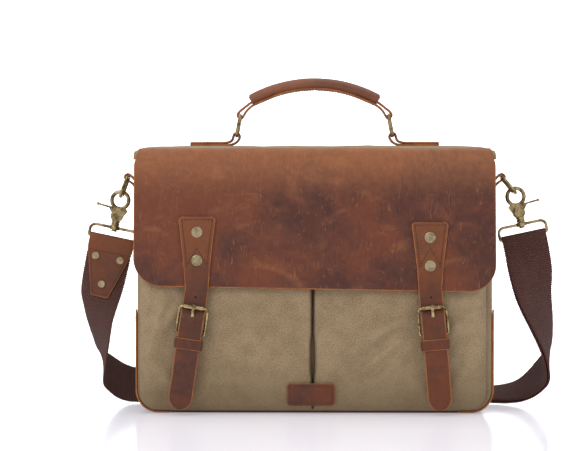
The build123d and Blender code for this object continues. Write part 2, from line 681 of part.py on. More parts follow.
# The doubled layer's way over the main one and round the slider's middle bar.
RETURN_ROUND_BAR = [(40, 4), (24, 7.9), (16, 11.7), (13.2, 12.2), (10, 11.4), (4, 8.6), (2, 8.1),
                    (0, 8), (-2, 7.9), (-3.6, 7), (-4.1, 5.3), (-3.6, 3.7), (-2, 2.8), (0, 2.7)]


def laid(point):
    """A route point, moved with the bag's own width, depth and height."""
    x, y, z = point
    out = max(-1.0, min(1.0, x / ROUTE_HALF_WIDTH)) * (HALF_WIDTH - ROUTE_HALF_WIDTH)
    back = max(0.0, min(1.0, y / ROUTE_HALF_DEPTH)) * (HALF_DEPTH - ROUTE_HALF_DEPTH)
    bar = hook_point(-1, EYE_DROP + LOOP_DROP + LOOP_HEIGHT).Z
    rise = 1 + (bar / ROUTE_BAR_HEIGHT - 1) * min(1.0, z / 60)
    return Vector(x + out, y + back, z * rise)


def laid_edges(route):
    """Edge pairs of the route, the outer edge moved out to the webbing's own width."""
    edges = []
    for outer, inner in route:
        low = laid(inner)
        edges.append((low + (laid(outer) - low) * (WEBBING_WIDTH / ROUTE_WIDTH), low))
    return edges


def hang(side, drop, width, off):
    """An edge pair of a flat band hanging from a strap loop's lower bar."""
    lean = math.radians(HOOK_TILT)
    down = hook_down(side)
    inward = Vector(-side * math.cos(lean), 0, -math.sin(lean))
    twist = math.radians(0.0073 * max(0.0, drop - 14) ** 2) if side < 0 else 0.0
    along = inward * math.cos(twist) + Vector(0, -1, 0) * math.sin(twist)
    forward = Vector(0, -1, 0) * math.cos(twist) - inward * math.sin(twist)
    middle = hook_point(side, EYE_DROP + LOOP_DROP + LOOP_HEIGHT + drop) + forward * off
    return middle - along * (width / 2), middle + along * (width / 2)


def round_bar(side, width, radius):
    """Edge pairs over a strap loop's lower bar, from its front to its back."""
    pairs = []
    for k in range(7):
        turn = math.pi * k / 6
        pairs.append(hang(side, -radius * math.sin(turn), width, radius * math.cos(turn)))
    return pairs


def slider_frame():
    """Middle, along, across and up directions of the slider, on the main layer."""
    first = laid_edges([ROUTE_LEFT[-1]])[0]
    last = laid_edges([ROUTE_RIGHT[0]])[0]
    share = SLIDER_X / ((last[0].X + last[1].X) / 2)
    outer = first[0] * (1 - share) + last[0] * share
    inner = first[1] * (1 - share) + last[1] * share
    along = ((last[0] + last[1]) - (first[0] + first[1])).normalized()
    sideways = (outer - inner)
    sideways = (sideways - along * sideways.dot(along)).normalized()
    return (outer + inner) * 0.5, along, sideways, along.cross(sideways)


def at_slider(profile):
    middle, along, sideways, up = slider_frame()
    half = sideways * (WEBBING_WIDTH / 2)
    return [(middle + half + along * s + up * h, middle - half + along * s + up * h) for s, h in profile]


def smooth_edges(edges, steps=2):
    outer = smooth([pair[0] for pair in edges], steps)
    inner = smooth([pair[1] for pair in edges], steps)
    return list(zip(outer, inner))


def strap_edges():
    """Edge pairs of the whole webbing: down from the left loop, round to the right, and back."""
    top = [hang(-1, drop, WEBBING_WIDTH, 0) for drop in end_drops()[::-1]]
    left = top[:-1] + smooth_edges(top[-1:] + laid_edges(ROUTE_LEFT))
    radius = LOOP_WIRE + FIT_GAP + WEBBING_T / 2
    ends = [hang(1, 14, WEBBING_WIDTH, radius * 0.7), hang(1, 5, WEBBING_WIDTH, radius)]
    right = smooth_edges(laid_edges(ROUTE_RIGHT) + ends)
    back = []
    count = len(right)
    for k in range(count - 1, -1, -1):
        outer, inner = right[k]
        before = right[max(k - 1, 0)]
        after = right[min(k + 1, count - 1)]
        along = (after[0] + after[1]) - (before[0] + before[1])
        behind = along.cross(outer - inner).normalized()
        gap = DOUBLE_GAP if k < count - 1 else 2 * radius
        gap = 2 * radius * 0.85 if k == count - 2 else gap
        back.append((outer + behind * gap, inner + behind * gap))
    bar = round_bar(1, WEBBING_WIDTH, radius)
    return left + at_slider(MAIN_OVER_SLIDER) + right + bar + back + at_slider(RETURN_ROUND_BAR)


def end_drops():
    """Stations down the leather end, from its tip up to where it meets the webbing's end."""
    return [END_LENGTH * k / END_STEPS for k in range(END_STEPS, 2, -1)]


def end_width(drop):
    share = max(0.0, drop - END_STRAIGHT) / (END_LENGTH - END_STRAIGHT)
    return (WEBBING_WIDTH + END_EXTRA) * (1 - share) + END_TIP_WIDTH * share


def end_edges():
    """Edge pairs of the leather end: front leaf, over the bar, rear leaf."""
    radius = LOOP_WIRE + FIT_GAP + END_T / 2
    seat = WEBBING_T / 2 + END_T / 2 + FIT_GAP
    drops = end_drops() + [5.0]
    front = [hang(-1, drop, end_width(drop), seat if drop > 10 else radius) for drop in drops]
    rear = [hang(-1, drop, end_width(drop), -seat if drop > 10 else -radius) for drop in drops[::-1]]
    return front + round_bar(-1, WEBBING_WIDTH + END_EXTRA, radius) + rear


def end_rivets():
    """Rivets through both leaves of the leather end; the posts' holes come second."""
    seat = WEBBING_T / 2 + FIT_GAP + END_T + 0.1
    rivets = []
    holes = []
    for drop, aside in ((22, -14.5), (22, 14.5), (53, 0)):
        outer, inner = hang(-1, drop, 2.0, 0)
        along = (inner - outer).normalized()
        front = hang(-1, drop, 2.0, 1)[0] - outer
        middle = (outer + inner) * 0.5 + along * aside
        for face in (1, -1):
            base = middle + front * (face * seat)
            rivets.append(rod(base, base + front * (face * 1.4), END_RIVET_R))
        rivets.append(rod(middle - front * seat, middle + front * seat, END_RIVET_POST))
        holes.append(rod(middle - front * 9, middle + front * 9, END_RIVET_POST + 0.05))
    return rivets, holes


def make_slider():
    """Flat three-bar slider; the webbing goes over its end bars and round the middle one."""
    middle, along, sideways, up = slider_frame()
    place = Plane(origin=middle + up * SLIDER_LIFT, x_dir=along, z_dir=up)
    width = WEBBING_WIDTH + 2 * SLIDER_RIM
    face = RectangleRounded(SLIDER_LENGTH, width, 4)
    reach = SLIDER_LENGTH / 2 - SLIDER_BAR - SLIDER_MIDDLE / 2
    for end in (-1, 1):
        window = Rectangle(reach, WEBBING_WIDTH + 2 * LOOP_PLAY)
        face -= Pos(end * (SLIDER_MIDDLE + reach) / 2, 0) * window
    return extrude(place * face, SLIDER_T / 2, both=True)


def make_strap():
    rivets, holes = end_rivets()
    webbing = ribbon(strap_edges(), WEBBING_T)
    leather = ribbon(end_edges(), END_T)
    for hole in holes:
        webbing -= hole
        leather -= hole
    joined = rivets[0]
    for piece in rivets[1:]:
        joined += piece
    return {
        "webbing": webbing,
        "strap_end": leather,
        "strap_end_rivets": joined,
        "strap_slider": make_slider(),
    }


# ---- closures ----
# Middle line of the strap below the flap, drawn in (Y, Z) from its own hinge at (0, 0).
STRAP_LINE = [(0, 0), (-0.2, -11), (-0.5, -20.5), (-2.4, -25.5), (-5.7, -30.5), (-7.4, -37), (-7.5, -51),
              (-7.1, -66), (-4.9, -91), (-2.4, -116)]
CLOSURE_SEAT = FLAP_T / 2 + CLOSURE_T / 2
CLOSURE_HINGE = flap_point(0, CLOSURE_SEAT + FIT_GAP / 2)
ROLLER_Y = STRAP_LINE[2][0] - CLOSURE_T / 2 - FIT_GAP - ROLLER_R
LOW_BAR_Y = -1.2
LOW_BAR_Z = -(BUCKLE_TOP + BUCKLE_REACH)


def make_upper(side):
    """The part of a closure strap that is sewn and riveted on the flap."""
    middle = CLOSURE_X[side]
    top = TAB_TOP_UP + CLOSURE_DROP[side]
    lean = math.radians(abs(CLOSURE_LEAN[side]))
    foot = CLOSURE_T / 2 + FIT_GAP + CLOSURE_WIDTH / 2 * math.sin(lean)
    profile = strip([flap_point(foot, CLOSURE_SEAT), flap_point(top + 5, CLOSURE_SEAT)], CLOSURE_T)
    z = FLAP_EDGE_Z
    face = polygon([
        (middle - CLOSURE_WIDTH / 2, z - 10), (middle + CLOSURE_WIDTH / 2, z - 10),
        (middle + CLOSURE_WIDTH / 2, z + 1), (middle + TAB_WAIST_WIDTH / 2, z + TAB_WAIST_UP),
        (middle + TAB_TOP_WIDTH / 2, z + top), (middle - TAB_TOP_WIDTH / 2, z + top),
        (middle - TAB_WAIST_WIDTH / 2, z + TAB_WAIST_UP), (middle - CLOSURE_WIDTH / 2, z + 1),
    ])
    face = fillet(face.vertices().sort_by(Axis.Y)[-2:], 3)
    y = CLOSURE_HINGE[0]
    half = TAB_TOP_WIDTH
    tab = across(profile, middle - half, middle + half) & front_to_back(face, y - 10, y + 30)
    rivets = []
    for up in RIVET_UP:
        up += CLOSURE_DROP[side]
        shaft = flap_plane(middle, up, -FLAP_T / 2 - WASHER_T)
        length = WASHER_T + FLAP_T + CLOSURE_T
        tab -= extrude(shaft * Circle(RIVET_POST + 0.1), length)
        rivet = extrude(shaft * Circle(RIVET_POST), length + RIVET_T)
        rivet += extrude(shaft * Circle(WASHER_R), WASHER_T)
        cap = flap_plane(middle, up, FLAP_T / 2 + CLOSURE_T)
        button = extrude(cap * Circle(RIVET_R), RIVET_T)
        rivets.append(rivet + fillet(button.edges().sort_by(Axis.Y)[0], 0.7))
    return tab, rivets[0] + rivets[1]


def make_lower():
    """Strap, buckle, prong, keeper, tab and snap, about the hinge, hanging straight."""
    hinge = (0, 0)
    line = STRAP_LINE + [(-1.0, -TAIL_TIP)]
    half = CLOSURE_WIDTH / 2
    profile = strip(line, CLOSURE_T) + disc(hinge, CLOSURE_T / 2)
    round_from = TAIL_ROUND - TAIL_TIP
    outline = polygon([(-half, round_from), (-half, 5), (half, 5), (half, round_from)])
    outline += Pos(0, round_from) * Ellipse(half, TAIL_ROUND)
    strap = across(profile, -half, half) & front_to_back(outline, -20, 10)
    slot = (LOW_BAR_Z + 8, LOW_BAR_Z + 29)
    strap -= box(-PRONG_WIDTH / 2 - 0.7, PRONG_WIDTH / 2 + 0.7, -20, 10, *slot)
    strap -= front_to_back(disc((0, -6), 1.15), -20, 10)

    bars = Vector(0, ROLLER_Y - LOW_BAR_Y, BUCKLE_REACH)
    middle = (0, (ROLLER_Y + LOW_BAR_Y) / 2, LOW_BAR_Z + BUCKLE_REACH / 2)
    place = Plane(origin=middle, x_dir=(1, 0, 0), z_dir=Vector(1, 0, 0).cross(bars))
    width = CLOSURE_WIDTH + 2 * BUCKLE_PLAY + 2 * BUCKLE_WIRE
    frame = wire_ring(place, width, bars.length, BUCKLE_WIRE, BUCKLE_CORNER, BUCKLE_CORNER)
    top_bar = (ROLLER_Y, -BUCKLE_TOP)
    low_bar = (LOW_BAR_Y, LOW_BAR_Z)
    sleeve = disc(top_bar, ROLLER_R) - disc(top_bar, BUCKLE_WIRE + 0.15)
    roller = across(sleeve, -ROLLER_LENGTH / 2, ROLLER_LENGTH / 2)

    prong_y = ROLLER_Y - ROLLER_R - 0.15 - PRONG_T / 2
    tip = (prong_y, 2.5 - BUCKLE_TOP)
    knee = (prong_y, -4.5 - BUCKLE_TOP)
    eye = disc(low_bar, BUCKLE_WIRE + 0.15 + PRONG_T * 0.8) - disc(low_bar, BUCKLE_WIRE + 0.15)
    start = (LOW_BAR_Y - 1.0, LOW_BAR_Z + 1.0)
    shank = strip([start, knee, tip], PRONG_T) + disc(tip, PRONG_T / 2) - disc(low_bar, BUCKLE_WIRE + 0.15)
    prong = across(eye + shank, -PRONG_WIDTH / 2, PRONG_WIDTH / 2)

    wrap_in = BUCKLE_WIRE + FIT_GAP
    wrap_out = wrap_in + CLOSURE_T
    foot = -BUCKLE_TAB_FOOT
    fold = disc(low_bar, wrap_out) - (Pos(LOW_BAR_Y, LOW_BAR_Z - 20) * Rectangle(40, 40))
    rear = strip([(LOW_BAR_Y + (wrap_in + wrap_out) / 2, LOW_BAR_Z),
                  (LOW_BAR_Y + (wrap_in + wrap_out) / 2, foot)], CLOSURE_T)
    front = strip([(LOW_BAR_Y - (wrap_in + wrap_out) / 2, LOW_BAR_Z),
                   (LOW_BAR_Y - (wrap_in + wrap_out) / 2, LOW_BAR_Z - 14)], CLOSURE_T)
    wide = BUCKLE_TAB_WIDTH / 2
    tab = across(fold + rear + front - disc(low_bar, wrap_in), -wide, wide)
    tab_shape = polygon([(-wide, foot + 10), (wide, foot + 10), (wide, 0), (-wide, 0)])
    tab_shape += Pos(0, foot + 10) * Ellipse(wide, 10)
    tab &= front_to_back(tab_shape, -20, 20)
    tab -= box(-PRONG_WIDTH / 2 - 0.6, PRONG_WIDTH / 2 + 0.6, -20, 20, LOW_BAR_Z - 5, LOW_BAR_Z + 10)

    rear_face = LOW_BAR_Y + wrap_out
    strap_front = min(y for y, z in STRAP_LINE) - CLOSURE_T / 2
    inner = Rectangle(CLOSURE_WIDTH + 2 * FIT_GAP, rear_face - strap_front + 2 * FIT_GAP)
    outer = RectangleRounded(CLOSURE_WIDTH + 2 * FIT_GAP + 2 * KEEPER_T,
                             rear_face - strap_front + 2 * FIT_GAP + 2 * KEEPER_T, KEEPER_T)
    level = Plane.XY.offset(-KEEPER_TOP - KEEPER_HEIGHT)
    ring = level * Pos(0, (rear_face + strap_front) / 2) * (outer - inner)
    keeper = extrude(ring, KEEPER_HEIGHT)

    snap = (0, -SNAP_DROP)
    cap = front_to_back(disc(snap, SNAP_R), rear_face, rear_face + SNAP_T)
    base = front_to_back(disc(snap, SNAP_R), rear_face + SNAP_T + FIT_GAP, POCKET_FACE - CLOSURE_HINGE[0])
    return {
        "closure_lower": strap,
        "buckle_frame": frame,
        "roller": roller,
        "prong": prong,
        "keeper": keeper,
        "buckle_tab": tab,
        "snap_cap": cap,
        "snap_base": base,
    }


def make_closures():
    nodes = {}
    for side, name in ((-1, "_left"), (1, "_right")):
        tab, rivets = make_upper(side)
        nodes["closure_upper" + name] = tab
        nodes["closure_rivets" + name] = rivets
        place = Pos(CLOSURE_X[side], *CLOSURE_HINGE) * Rot(0, CLOSURE_LEAN[side], 0)
        for piece, shape in make_lower().items():
            nodes[piece + name] = place * shape
    return nodes


def main():
    os.makedirs("parts", exist_ok=True)
    nodes = make_panels() | make_base() | {"lining": make_lining()} | make_pockets()
    nodes |= make_flap() | make_handle() | make_side(-1) | make_side(1)
    nodes |= make_strap() | make_closures()
    for name, shape in nodes.items():
        export_step(shape, "parts/" + name + ".step")


main()
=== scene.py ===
import json
import math

import bpy
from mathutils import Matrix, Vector, noise


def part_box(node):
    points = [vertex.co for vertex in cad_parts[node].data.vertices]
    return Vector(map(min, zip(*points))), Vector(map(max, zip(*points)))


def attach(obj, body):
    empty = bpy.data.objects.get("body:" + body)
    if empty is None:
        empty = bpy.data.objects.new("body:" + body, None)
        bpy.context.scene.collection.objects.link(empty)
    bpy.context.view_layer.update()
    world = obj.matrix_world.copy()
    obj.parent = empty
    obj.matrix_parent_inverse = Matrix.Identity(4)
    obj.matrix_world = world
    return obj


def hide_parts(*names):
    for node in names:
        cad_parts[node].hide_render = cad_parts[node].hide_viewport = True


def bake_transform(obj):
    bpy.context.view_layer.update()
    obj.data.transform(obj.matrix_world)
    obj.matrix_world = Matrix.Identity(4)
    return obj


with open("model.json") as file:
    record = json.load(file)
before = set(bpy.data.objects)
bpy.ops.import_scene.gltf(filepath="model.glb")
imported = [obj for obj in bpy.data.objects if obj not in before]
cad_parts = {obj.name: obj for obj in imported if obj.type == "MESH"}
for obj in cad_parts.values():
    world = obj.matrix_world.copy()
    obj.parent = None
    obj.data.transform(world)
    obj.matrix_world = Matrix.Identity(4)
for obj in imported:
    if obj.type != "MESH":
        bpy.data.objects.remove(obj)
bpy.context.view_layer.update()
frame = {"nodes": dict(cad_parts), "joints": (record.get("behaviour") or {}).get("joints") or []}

# A canvas and leather messenger bag. +Z up, the front faces -Y, left is -X.
# Shapes are worked out in millimetres and turned into metres as they are made.
MM = 0.001


# ---- places read from the frame
def pivot(joint):
    """A joint's place, in millimetres."""
    return Vector(next(j["pos_m"] for j in frame["joints"] if j["name"] == joint)) * 1000


def low(node):
    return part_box(node)[0] * 1000


def high(node):
    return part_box(node)[1] * 1000


HALF_WIDTH = high("guard_right").x
SHELL_HALF = high("gusset").x
SHELL_FLOOR = low("gusset").z
SHELL_CORNER = 23.8
TOP_Z = high("front_panel").z
FRONT_Y = low("front_panel").y
BACK_Y = high("back_panel").y
FLAP_LEAN = math.radians(4.58)
FLAP_EDGE = Vector((0, -71, 141))
FLAP_HALF = 203.5
FLAP_CORNER = 32.0
POCKET_TOP = high("pocket_left").z
POCKET_FLOOR = low("pocket_left").z - 4.5
SIDES = ((-1, "left"), (1, "right"))
CANVAS_THICK = 1.6
LEATHER_THICK = 2.0


# ---- camera
def facing(place, aim):
    """The turn that makes a camera or lamp look from place to aim."""
    return (Vector(aim) - Vector(place)).to_track_quat("-Z", "Y").to_euler()


CAMERA_PLACE = Vector((0, -2.1, 0.237))
CAMERA_AIM = Vector((-0.0313, 0, 0.2117))


def make_camera():
    """The camera, level with the bag's middle and 2.1 m in front of it."""
    data = bpy.data.cameras.new("camera")
    data.lens = 113.5
    data.sensor_width = 36
    data.clip_start = 0.05
    camera = bpy.data.objects.new("camera", data)
    bpy.context.scene.collection.objects.link(camera)
    camera.location = CAMERA_PLACE
    camera.rotation_euler = facing(CAMERA_PLACE, CAMERA_AIM)
    bpy.context.scene.camera = camera
    bpy.context.scene.view_settings.view_transform = "Standard"


# ---- shader maths
class Link:
    """A node's output. Sums on it add Math nodes."""

    def __init__(self, shade, socket):
        self.shade = shade
        self.socket = socket

    def math(self, operation, *others):
        values = dict(enumerate((self, *others)))
        return self.shade.node("ShaderNodeMath", {"operation": operation}, values)

    def __add__(self, other):
        return self.math("ADD", other)

    def __sub__(self, other):
        return self.math("SUBTRACT", other)

    def __mul__(self, other):
        return self.math("MULTIPLY", other)

    def sine(self):
        return self.math("SINE")

    def size(self):
        return self.math("ABSOLUTE")

    def ramp(self, start, end, least=0.0, most=1.0):
        """Smoothly from least to most as this goes from start to end."""
        values = {0: self, 1: start, 2: end, 3: least, 4: most}
        return self.shade.node("ShaderNodeMapRange", {"interpolation_type": "SMOOTHSTEP"}, values)


class Shade:
    """A material under construction."""

    def __init__(self, name, **settings):
        self.material = bpy.data.materials.new(name)
        self.material.use_nodes = True
        self.tree = self.material.node_tree
        self.tree.nodes.clear()
        self.shader = self.tree.nodes.new("ShaderNodeBsdfPrincipled")
        output = self.tree.nodes.new("ShaderNodeOutputMaterial")
        self.tree.links.new(self.shader.outputs[0], output.inputs[0])
        for socket, value in settings.items():
            self.shader.inputs[socket.replace("_", " ")].default_value = value

    def put(self, target, value):
        if isinstance(value, Link):
            self.tree.links.new(value.socket, target)
        elif hasattr(value, "__len__") and len(value) == 3 and target.type == "RGBA":
            target.default_value = (*value, 1)
        else:
            target.default_value = value

    def node(self, kind, settings=None, values=None, output=0):
        made = self.tree.nodes.new(kind)
        for name, value in (settings or {}).items():
            setattr(made, name, value)
        for key, value in (values or {}).items():
            self.put(made.inputs[key], value)
        return Link(self, made.outputs[output])

    def mix(self, share, first, second):
        """From the first colour to the second, by share."""
        values = {0: share, 6: first, 7: second}
        return self.node("ShaderNodeMix", {"data_type": "RGBA"}, values, 2)

    def place(self, scale=(1, 1, 1), turn=(0, 0, 0), uv=False):
        """Object coordinates, or the piece's own UV map in metres, turned and scaled."""
        source = self.node("ShaderNodeTexCoord", output="UV" if uv else "Object")
        values = {"Vector": source, "Scale": scale, "Rotation": turn}
        return self.node("ShaderNodeMapping", None, values)

    def split(self, vector):
        made = self.tree.nodes.new("ShaderNodeSeparateXYZ")
        self.tree.links.new(vector.socket, made.inputs[0])
        return [Link(self, output) for output in made.outputs]

    def noise(self, vector, scale, detail=3.0, rough=0.55, distort=0.0):
        values = {"Vector": vector, "Scale": scale, "Detail": detail, "Roughness": rough,
                  "Distortion": distort}
        return self.node("ShaderNodeTexNoise", None, values)

    def cells(self, vector, scale):
        return self.node("ShaderNodeTexVoronoi", None, {"Vector": vector, "Scale": scale})

    def bump(self, height, depth, strength=1.0):
        values = {"Height": height, "Distance": depth, "Strength": strength}
        return self.node("ShaderNodeBump", None, values)

    def finish(self, **sockets):
        for socket, value in sockets.items():
            self.put(self.shader.inputs[socket.replace("_", " ")], value)
        return self.material


# ---- materials
def canvas(name, colour, faded, thread):
    """Washed cotton canvas: a plain weave with uneven threads and faded, rubbed places, and painted shade
    that darkens it near the floor.
    """
    shade = Shade(name, Sheen_Weight=0.04, Sheen_Roughness=0.5, Specular_IOR_Level=0.15)
    across, along, _ = shade.split(shade.place(uv=True))
    turns = math.pi / thread
    over = (across * turns).sine() * (along * turns).sine()
    warp = shade.noise(shade.place((1500, 330, 1), uv=True), 1.0, 2.0)
    weft = shade.noise(shade.place((330, 1500, 1), uv=True), 1.0, 2.0)
    heather = shade.noise(shade.place(uv=True), 820, 2, 0.65)
    slubs = (warp + weft) * 0.5
    cloud = shade.noise(shade.place(), 11, 4, 0.6, 0.4)
    patch = shade.noise(shade.place(), 70, 4, 0.65)
    tone = slubs.ramp(0.4, 0.6) * 0.25 + heather.ramp(0.41, 0.59) * 0.4
    tone = tone + patch.ramp(0.34, 0.66) * 0.2 + cloud.ramp(0.38, 0.62) * 0.15
    base = shade.mix(tone, colour, faded)
    base = shade.mix((over * 0.5 + 0.5) * 0.3, base, tuple(c * 0.6 for c in colour))
    # Painted shade: the canvas turns darker towards the floor, over its lowest 8 cm.
    height = shade.split(shade.place())[2]
    base = shade.mix(height.ramp(0.0, 0.08, 0.6, 0.0), base, tuple(c * 0.7 for c in colour))
    relief = over * 0.35 + slubs * 0.8 + heather * 0.6
    return shade.finish(
        Base_Color=base,
        Roughness=slubs.ramp(0.3, 0.7, 0.8, 0.95),
        Normal=shade.bump(relief, 0.22 * MM, 0.7),
    )


def leather(name, dark, middle, light, patch, rubbed, pores=1500, gloss=0.44, wear_and_top_light=None):
    """Waxed pull-up leather: dark and light clouds, rubs, fine scratches and pores.
    The last argument gives the heights over which it turns mottled and lighter higher up: painted light
    from above, and on the flap also wear at its fold."""
    shade = Shade(name, Specular_IOR_Level=0.28, Coat_Roughness=0.45)
    here = shade.place()
    cloud = shade.noise(here, 1 / patch, 5, 0.58, 0.3)
    drift = shade.noise(shade.place((0.7, 1, 1.3), (0.3, 0.5, 0.2)), 2.2 / patch, 4, 0.6, 0.8)
    mottle = shade.noise(here, 130, 4, 0.65)
    speck = shade.noise(here, 900, 3, 0.7)
    base = shade.mix(cloud.ramp(0.36, 0.62) * 0.75 + mottle.ramp(0.35, 0.65) * 0.25, dark, middle)
    rub = drift.ramp(0.5, 0.78) * cloud.ramp(0.34, 0.6)
    base = shade.mix(rub * rubbed * 0.6, base, light)
    # Painted light from above: mottled and lighter higher up, between the two given heights; on the flap
    # this is also wear at its fold.
    if wear_and_top_light is not None:
        height = shade.split(here)[2]
        base = shade.mix(height.ramp(*wear_and_top_light) * (mottle * 0.5 + 0.3), base, light)
    scratches = None
    for turn, stretch, seed in ((0.5, 7, 0.0), (-0.9, 9, 3.1), (1.5, 8, 7.7)):
        drawn = shade.place((stretch, stretch, 1), (0.1 + seed, turn, seed))
        lines = shade.noise(drawn, 26, 1.0, 0.4, 0.2)
        where = shade.noise(shade.place(turn=(seed, 1, turn)), 55, 1.0, 0.5)
        mark = (lines - 0.5).size().ramp(0.0, 0.009, 1.0, 0.0) * where.ramp(0.53, 0.6)
        scratches = mark if scratches is None else scratches + mark
    base = shade.mix(scratches * 0.55 * rubbed, base, light)
    base = shade.mix(speck.ramp(0.45, 0.75) * 0.18, base, dark)
    pore = shade.cells(here, pores)
    grain = shade.noise(here, pores * 0.35, 4, 0.6)
    relief = pore.ramp(0.0, 0.6) * 0.4 + grain * 0.7 - scratches * 0.2
    return shade.finish(
        Base_Color=base,
        Roughness=cloud.ramp(0.3, 0.7, gloss - 0.05, gloss + 0.1) + rub * 0.1,
        Coat_Weight=cloud.ramp(0.4, 0.6, 0.14, 0.04),
        Normal=shade.bump(relief, 0.14 * MM, 0.5),
    )


def raw_edge_and_highlight(name, colour, dark):
    """The cut edge of leather: layered, lighter and dry. On the faces' outer cells it is also a painted
    highlight along the edges.
    """
    shade = Shade(name, Specular_IOR_Level=0.25)
    fibre = shade.noise(shade.place(), 1300, 3, 0.7)
    wear_and_top_light = shade.noise(shade.place(), 90, 2, 0.5)
    tone = fibre.ramp(0.35, 0.65) * 0.5 + wear_and_top_light.ramp(0.35, 0.65) * 0.5
    return shade.finish(
        Base_Color=shade.mix(tone, dark, colour),
        Roughness=fibre.ramp(0.3, 0.7, 0.65, 0.85),
        Normal=shade.bump(fibre, 0.2 * MM, 0.5),
    )


def strap_web(name, colour, fleck, light):
    """Cotton webbing in a fine chevron weave, flecked with lighter fibres."""
    shade = Shade(name, Sheen_Weight=0.06, Sheen_Roughness=0.5, Specular_IOR_Level=0.15)
    across, along, _ = shade.split(shade.place(uv=True))
    rib = 2.6 * MM
    lean = (across * (math.pi / (6 * MM))).sine()
    yarn = ((along + lean * (1.1 * MM)) * (2 * math.pi / rib)).sine()
    ends = (across * (2 * math.pi / (1.5 * MM))).sine()
    fibres = shade.noise(shade.place((900, 900, 1), uv=True), 1.0, 3, 0.7)
    wear_and_top_light = shade.noise(shade.place((25, 9, 1), uv=True), 1.0, 3, 0.6)
    relief = yarn * 0.8 + ends * 0.5 + fibres * 0.5
    tone = (yarn * 0.5 + 0.5) * 0.5 + fibres.ramp(0.4, 0.6) * 0.3
    base = shade.mix(tone, tuple(c * 0.45 for c in colour), colour)
    base = shade.mix(fibres.ramp(0.55, 0.68) * 0.6, base, fleck)
    base = shade.mix(wear_and_top_light.ramp(0.5, 0.75) * 0.35, base, light)
    return shade.finish(
        Base_Color=base,
        Roughness=fibres.ramp(0.3, 0.7, 0.75, 0.92),
        Normal=shade.bump(relief, 0.6 * MM),
    )


def brass(name, bright, dull, shine):
    """Antique brass: brown patina in clouds, brighter where it is handled."""
    shade = Shade(name, Metallic=1.0)
    here = shade.place()
    patina = shade.noise(here, 130, 4, 0.65, 0.5)
    speck = shade.noise(here, 1100, 2, 0.6)
    tone = patina.ramp(0.36, 0.62) * 0.75 + speck.ramp(0.4, 0.7) * 0.25
    return shade.finish(
        Base_Color=shade.mix(tone, dull, bright),
        Roughness=patina.ramp(0.3, 0.7, shine + 0.2, shine) + speck * 0.06,
        Normal=shade.bump(speck + patina * 0.6, 0.05 * MM, 0.4),
    )


def cloth(name, colour, light, thread):
    """A plain woven cloth, for the lining and the sewing thread."""
    shade = Shade(name, Sheen_Weight=0.15, Specular_IOR_Level=0.25)
    here = shade.place()
    x, y, z = shade.split(here)
    turns = 2 * math.pi / thread
    weave = ((x + y) * turns).sine() * (z * turns).sine()
    fluff = shade.noise(here, 700, 3, 0.6)
    return shade.finish(
        Base_Color=shade.mix(fluff.ramp(0.3, 0.7), colour, light),
        Roughness=fluff.ramp(0.3, 0.7, 0.7, 0.9),
        Normal=shade.bump(weave * 0.5 + fluff, 0.15 * MM, 0.5),
    )


def fibre_board(name):
    """Dark stiff board, for the base."""
    shade = Shade(name)
    fibre = shade.noise(shade.place(), 500, 4, 0.7)
    return shade.finish(
        Base_Color=shade.mix(fibre.ramp(0.3, 0.7), (0.02, 0.018, 0.016), (0.05, 0.045, 0.04)),
        Roughness=fibre.ramp(0.3, 0.7, 0.6, 0.8),
        Normal=shade.bump(fibre, 0.1 * MM),
    )


def make_materials():
    return {
        "canvas": canvas("khaki_canvas", (0.205, 0.14, 0.074), (0.47, 0.352, 0.216), 0.62 * MM),
        "lining": cloth("lining_cloth", (0.035, 0.026, 0.02), (0.08, 0.06, 0.045), 1.2 * MM),
        "board": fibre_board("fibre_board"),
        "flap_leather": leather("flap_leather", (0.062, 0.018, 0.012), (0.165, 0.044, 0.018),
                                (0.42, 0.165, 0.065), 0.085, 0.75, wear_and_top_light=(0.235, 0.304)),
        "strap_leather": leather("strap_leather", (0.066, 0.019, 0.009), (0.145, 0.038, 0.012),
                                 (0.25, 0.08, 0.025), 0.05, 0.45, wear_and_top_light=(0.11, 0.23)),
        "grip_leather": leather("grip_leather", (0.14, 0.046, 0.022), (0.23, 0.082, 0.04),
                                (0.4, 0.19, 0.1), 0.05, 0.3, 1100, 0.42),
        "core": cloth("filler_cord", (0.02, 0.018, 0.015), (0.05, 0.04, 0.035), 1.0 * MM),
        "webbing": strap_web("webbing_cotton", (0.14, 0.054, 0.042), (0.4, 0.24, 0.19), (0.2, 0.09, 0.07)),
        "rivet_brass": brass("rivet_brass", (0.52, 0.43, 0.26), (0.24, 0.18, 0.1), 0.22),
        "antique_brass": brass("antique_brass", (0.52, 0.4, 0.2), (0.1, 0.066, 0.03), 0.2),
        # The cut edge's colour, also used as the painted edge highlight.
        "edge": raw_edge_and_highlight("raw_edge_and_highlight", (0.42, 0.15, 0.044), (0.22, 0.07, 0.022)),
        "thread": cloth("waxed_thread", (0.03, 0.014, 0.009), (0.09, 0.045, 0.028), 0.4 * MM),
        "canvas_thread": cloth("khaki_thread", (0.14, 0.09, 0.05), (0.26, 0.18, 0.11), 0.4 * MM),
        # Near-black painted shade, for the punched holes.
        "painted_hole_shade": cloth("punched_hole_painted_shade", (0.008, 0.004, 0.003), (0.02, 0.01, 0.008), 0.5 * MM),
    }


# ---- mesh helpers
def clamp(value, least=0.0, most=1.0):
    return max(least, min(most, value))


def ease(value):
    value = clamp(value)
    return value * value * (3 - 2 * value)


def arch(value):
    """A quarter round: 0 at 0, steep at first, level at 1."""
    value = clamp(value)
    return math.sqrt(1 - (1 - value) ** 2)


def to_edges(value, pull=0.13):
    """Crowds even shares of a side towards its two ends."""
    return value - pull * math.sin(2 * math.pi * value)


def wave(x, z, size, seed=0.0):
    """Slow unevenness between -1 and 1, about this far from bump to bump."""
    return noise.noise(Vector((x / size + seed, z / size - seed, seed * 1.7)))


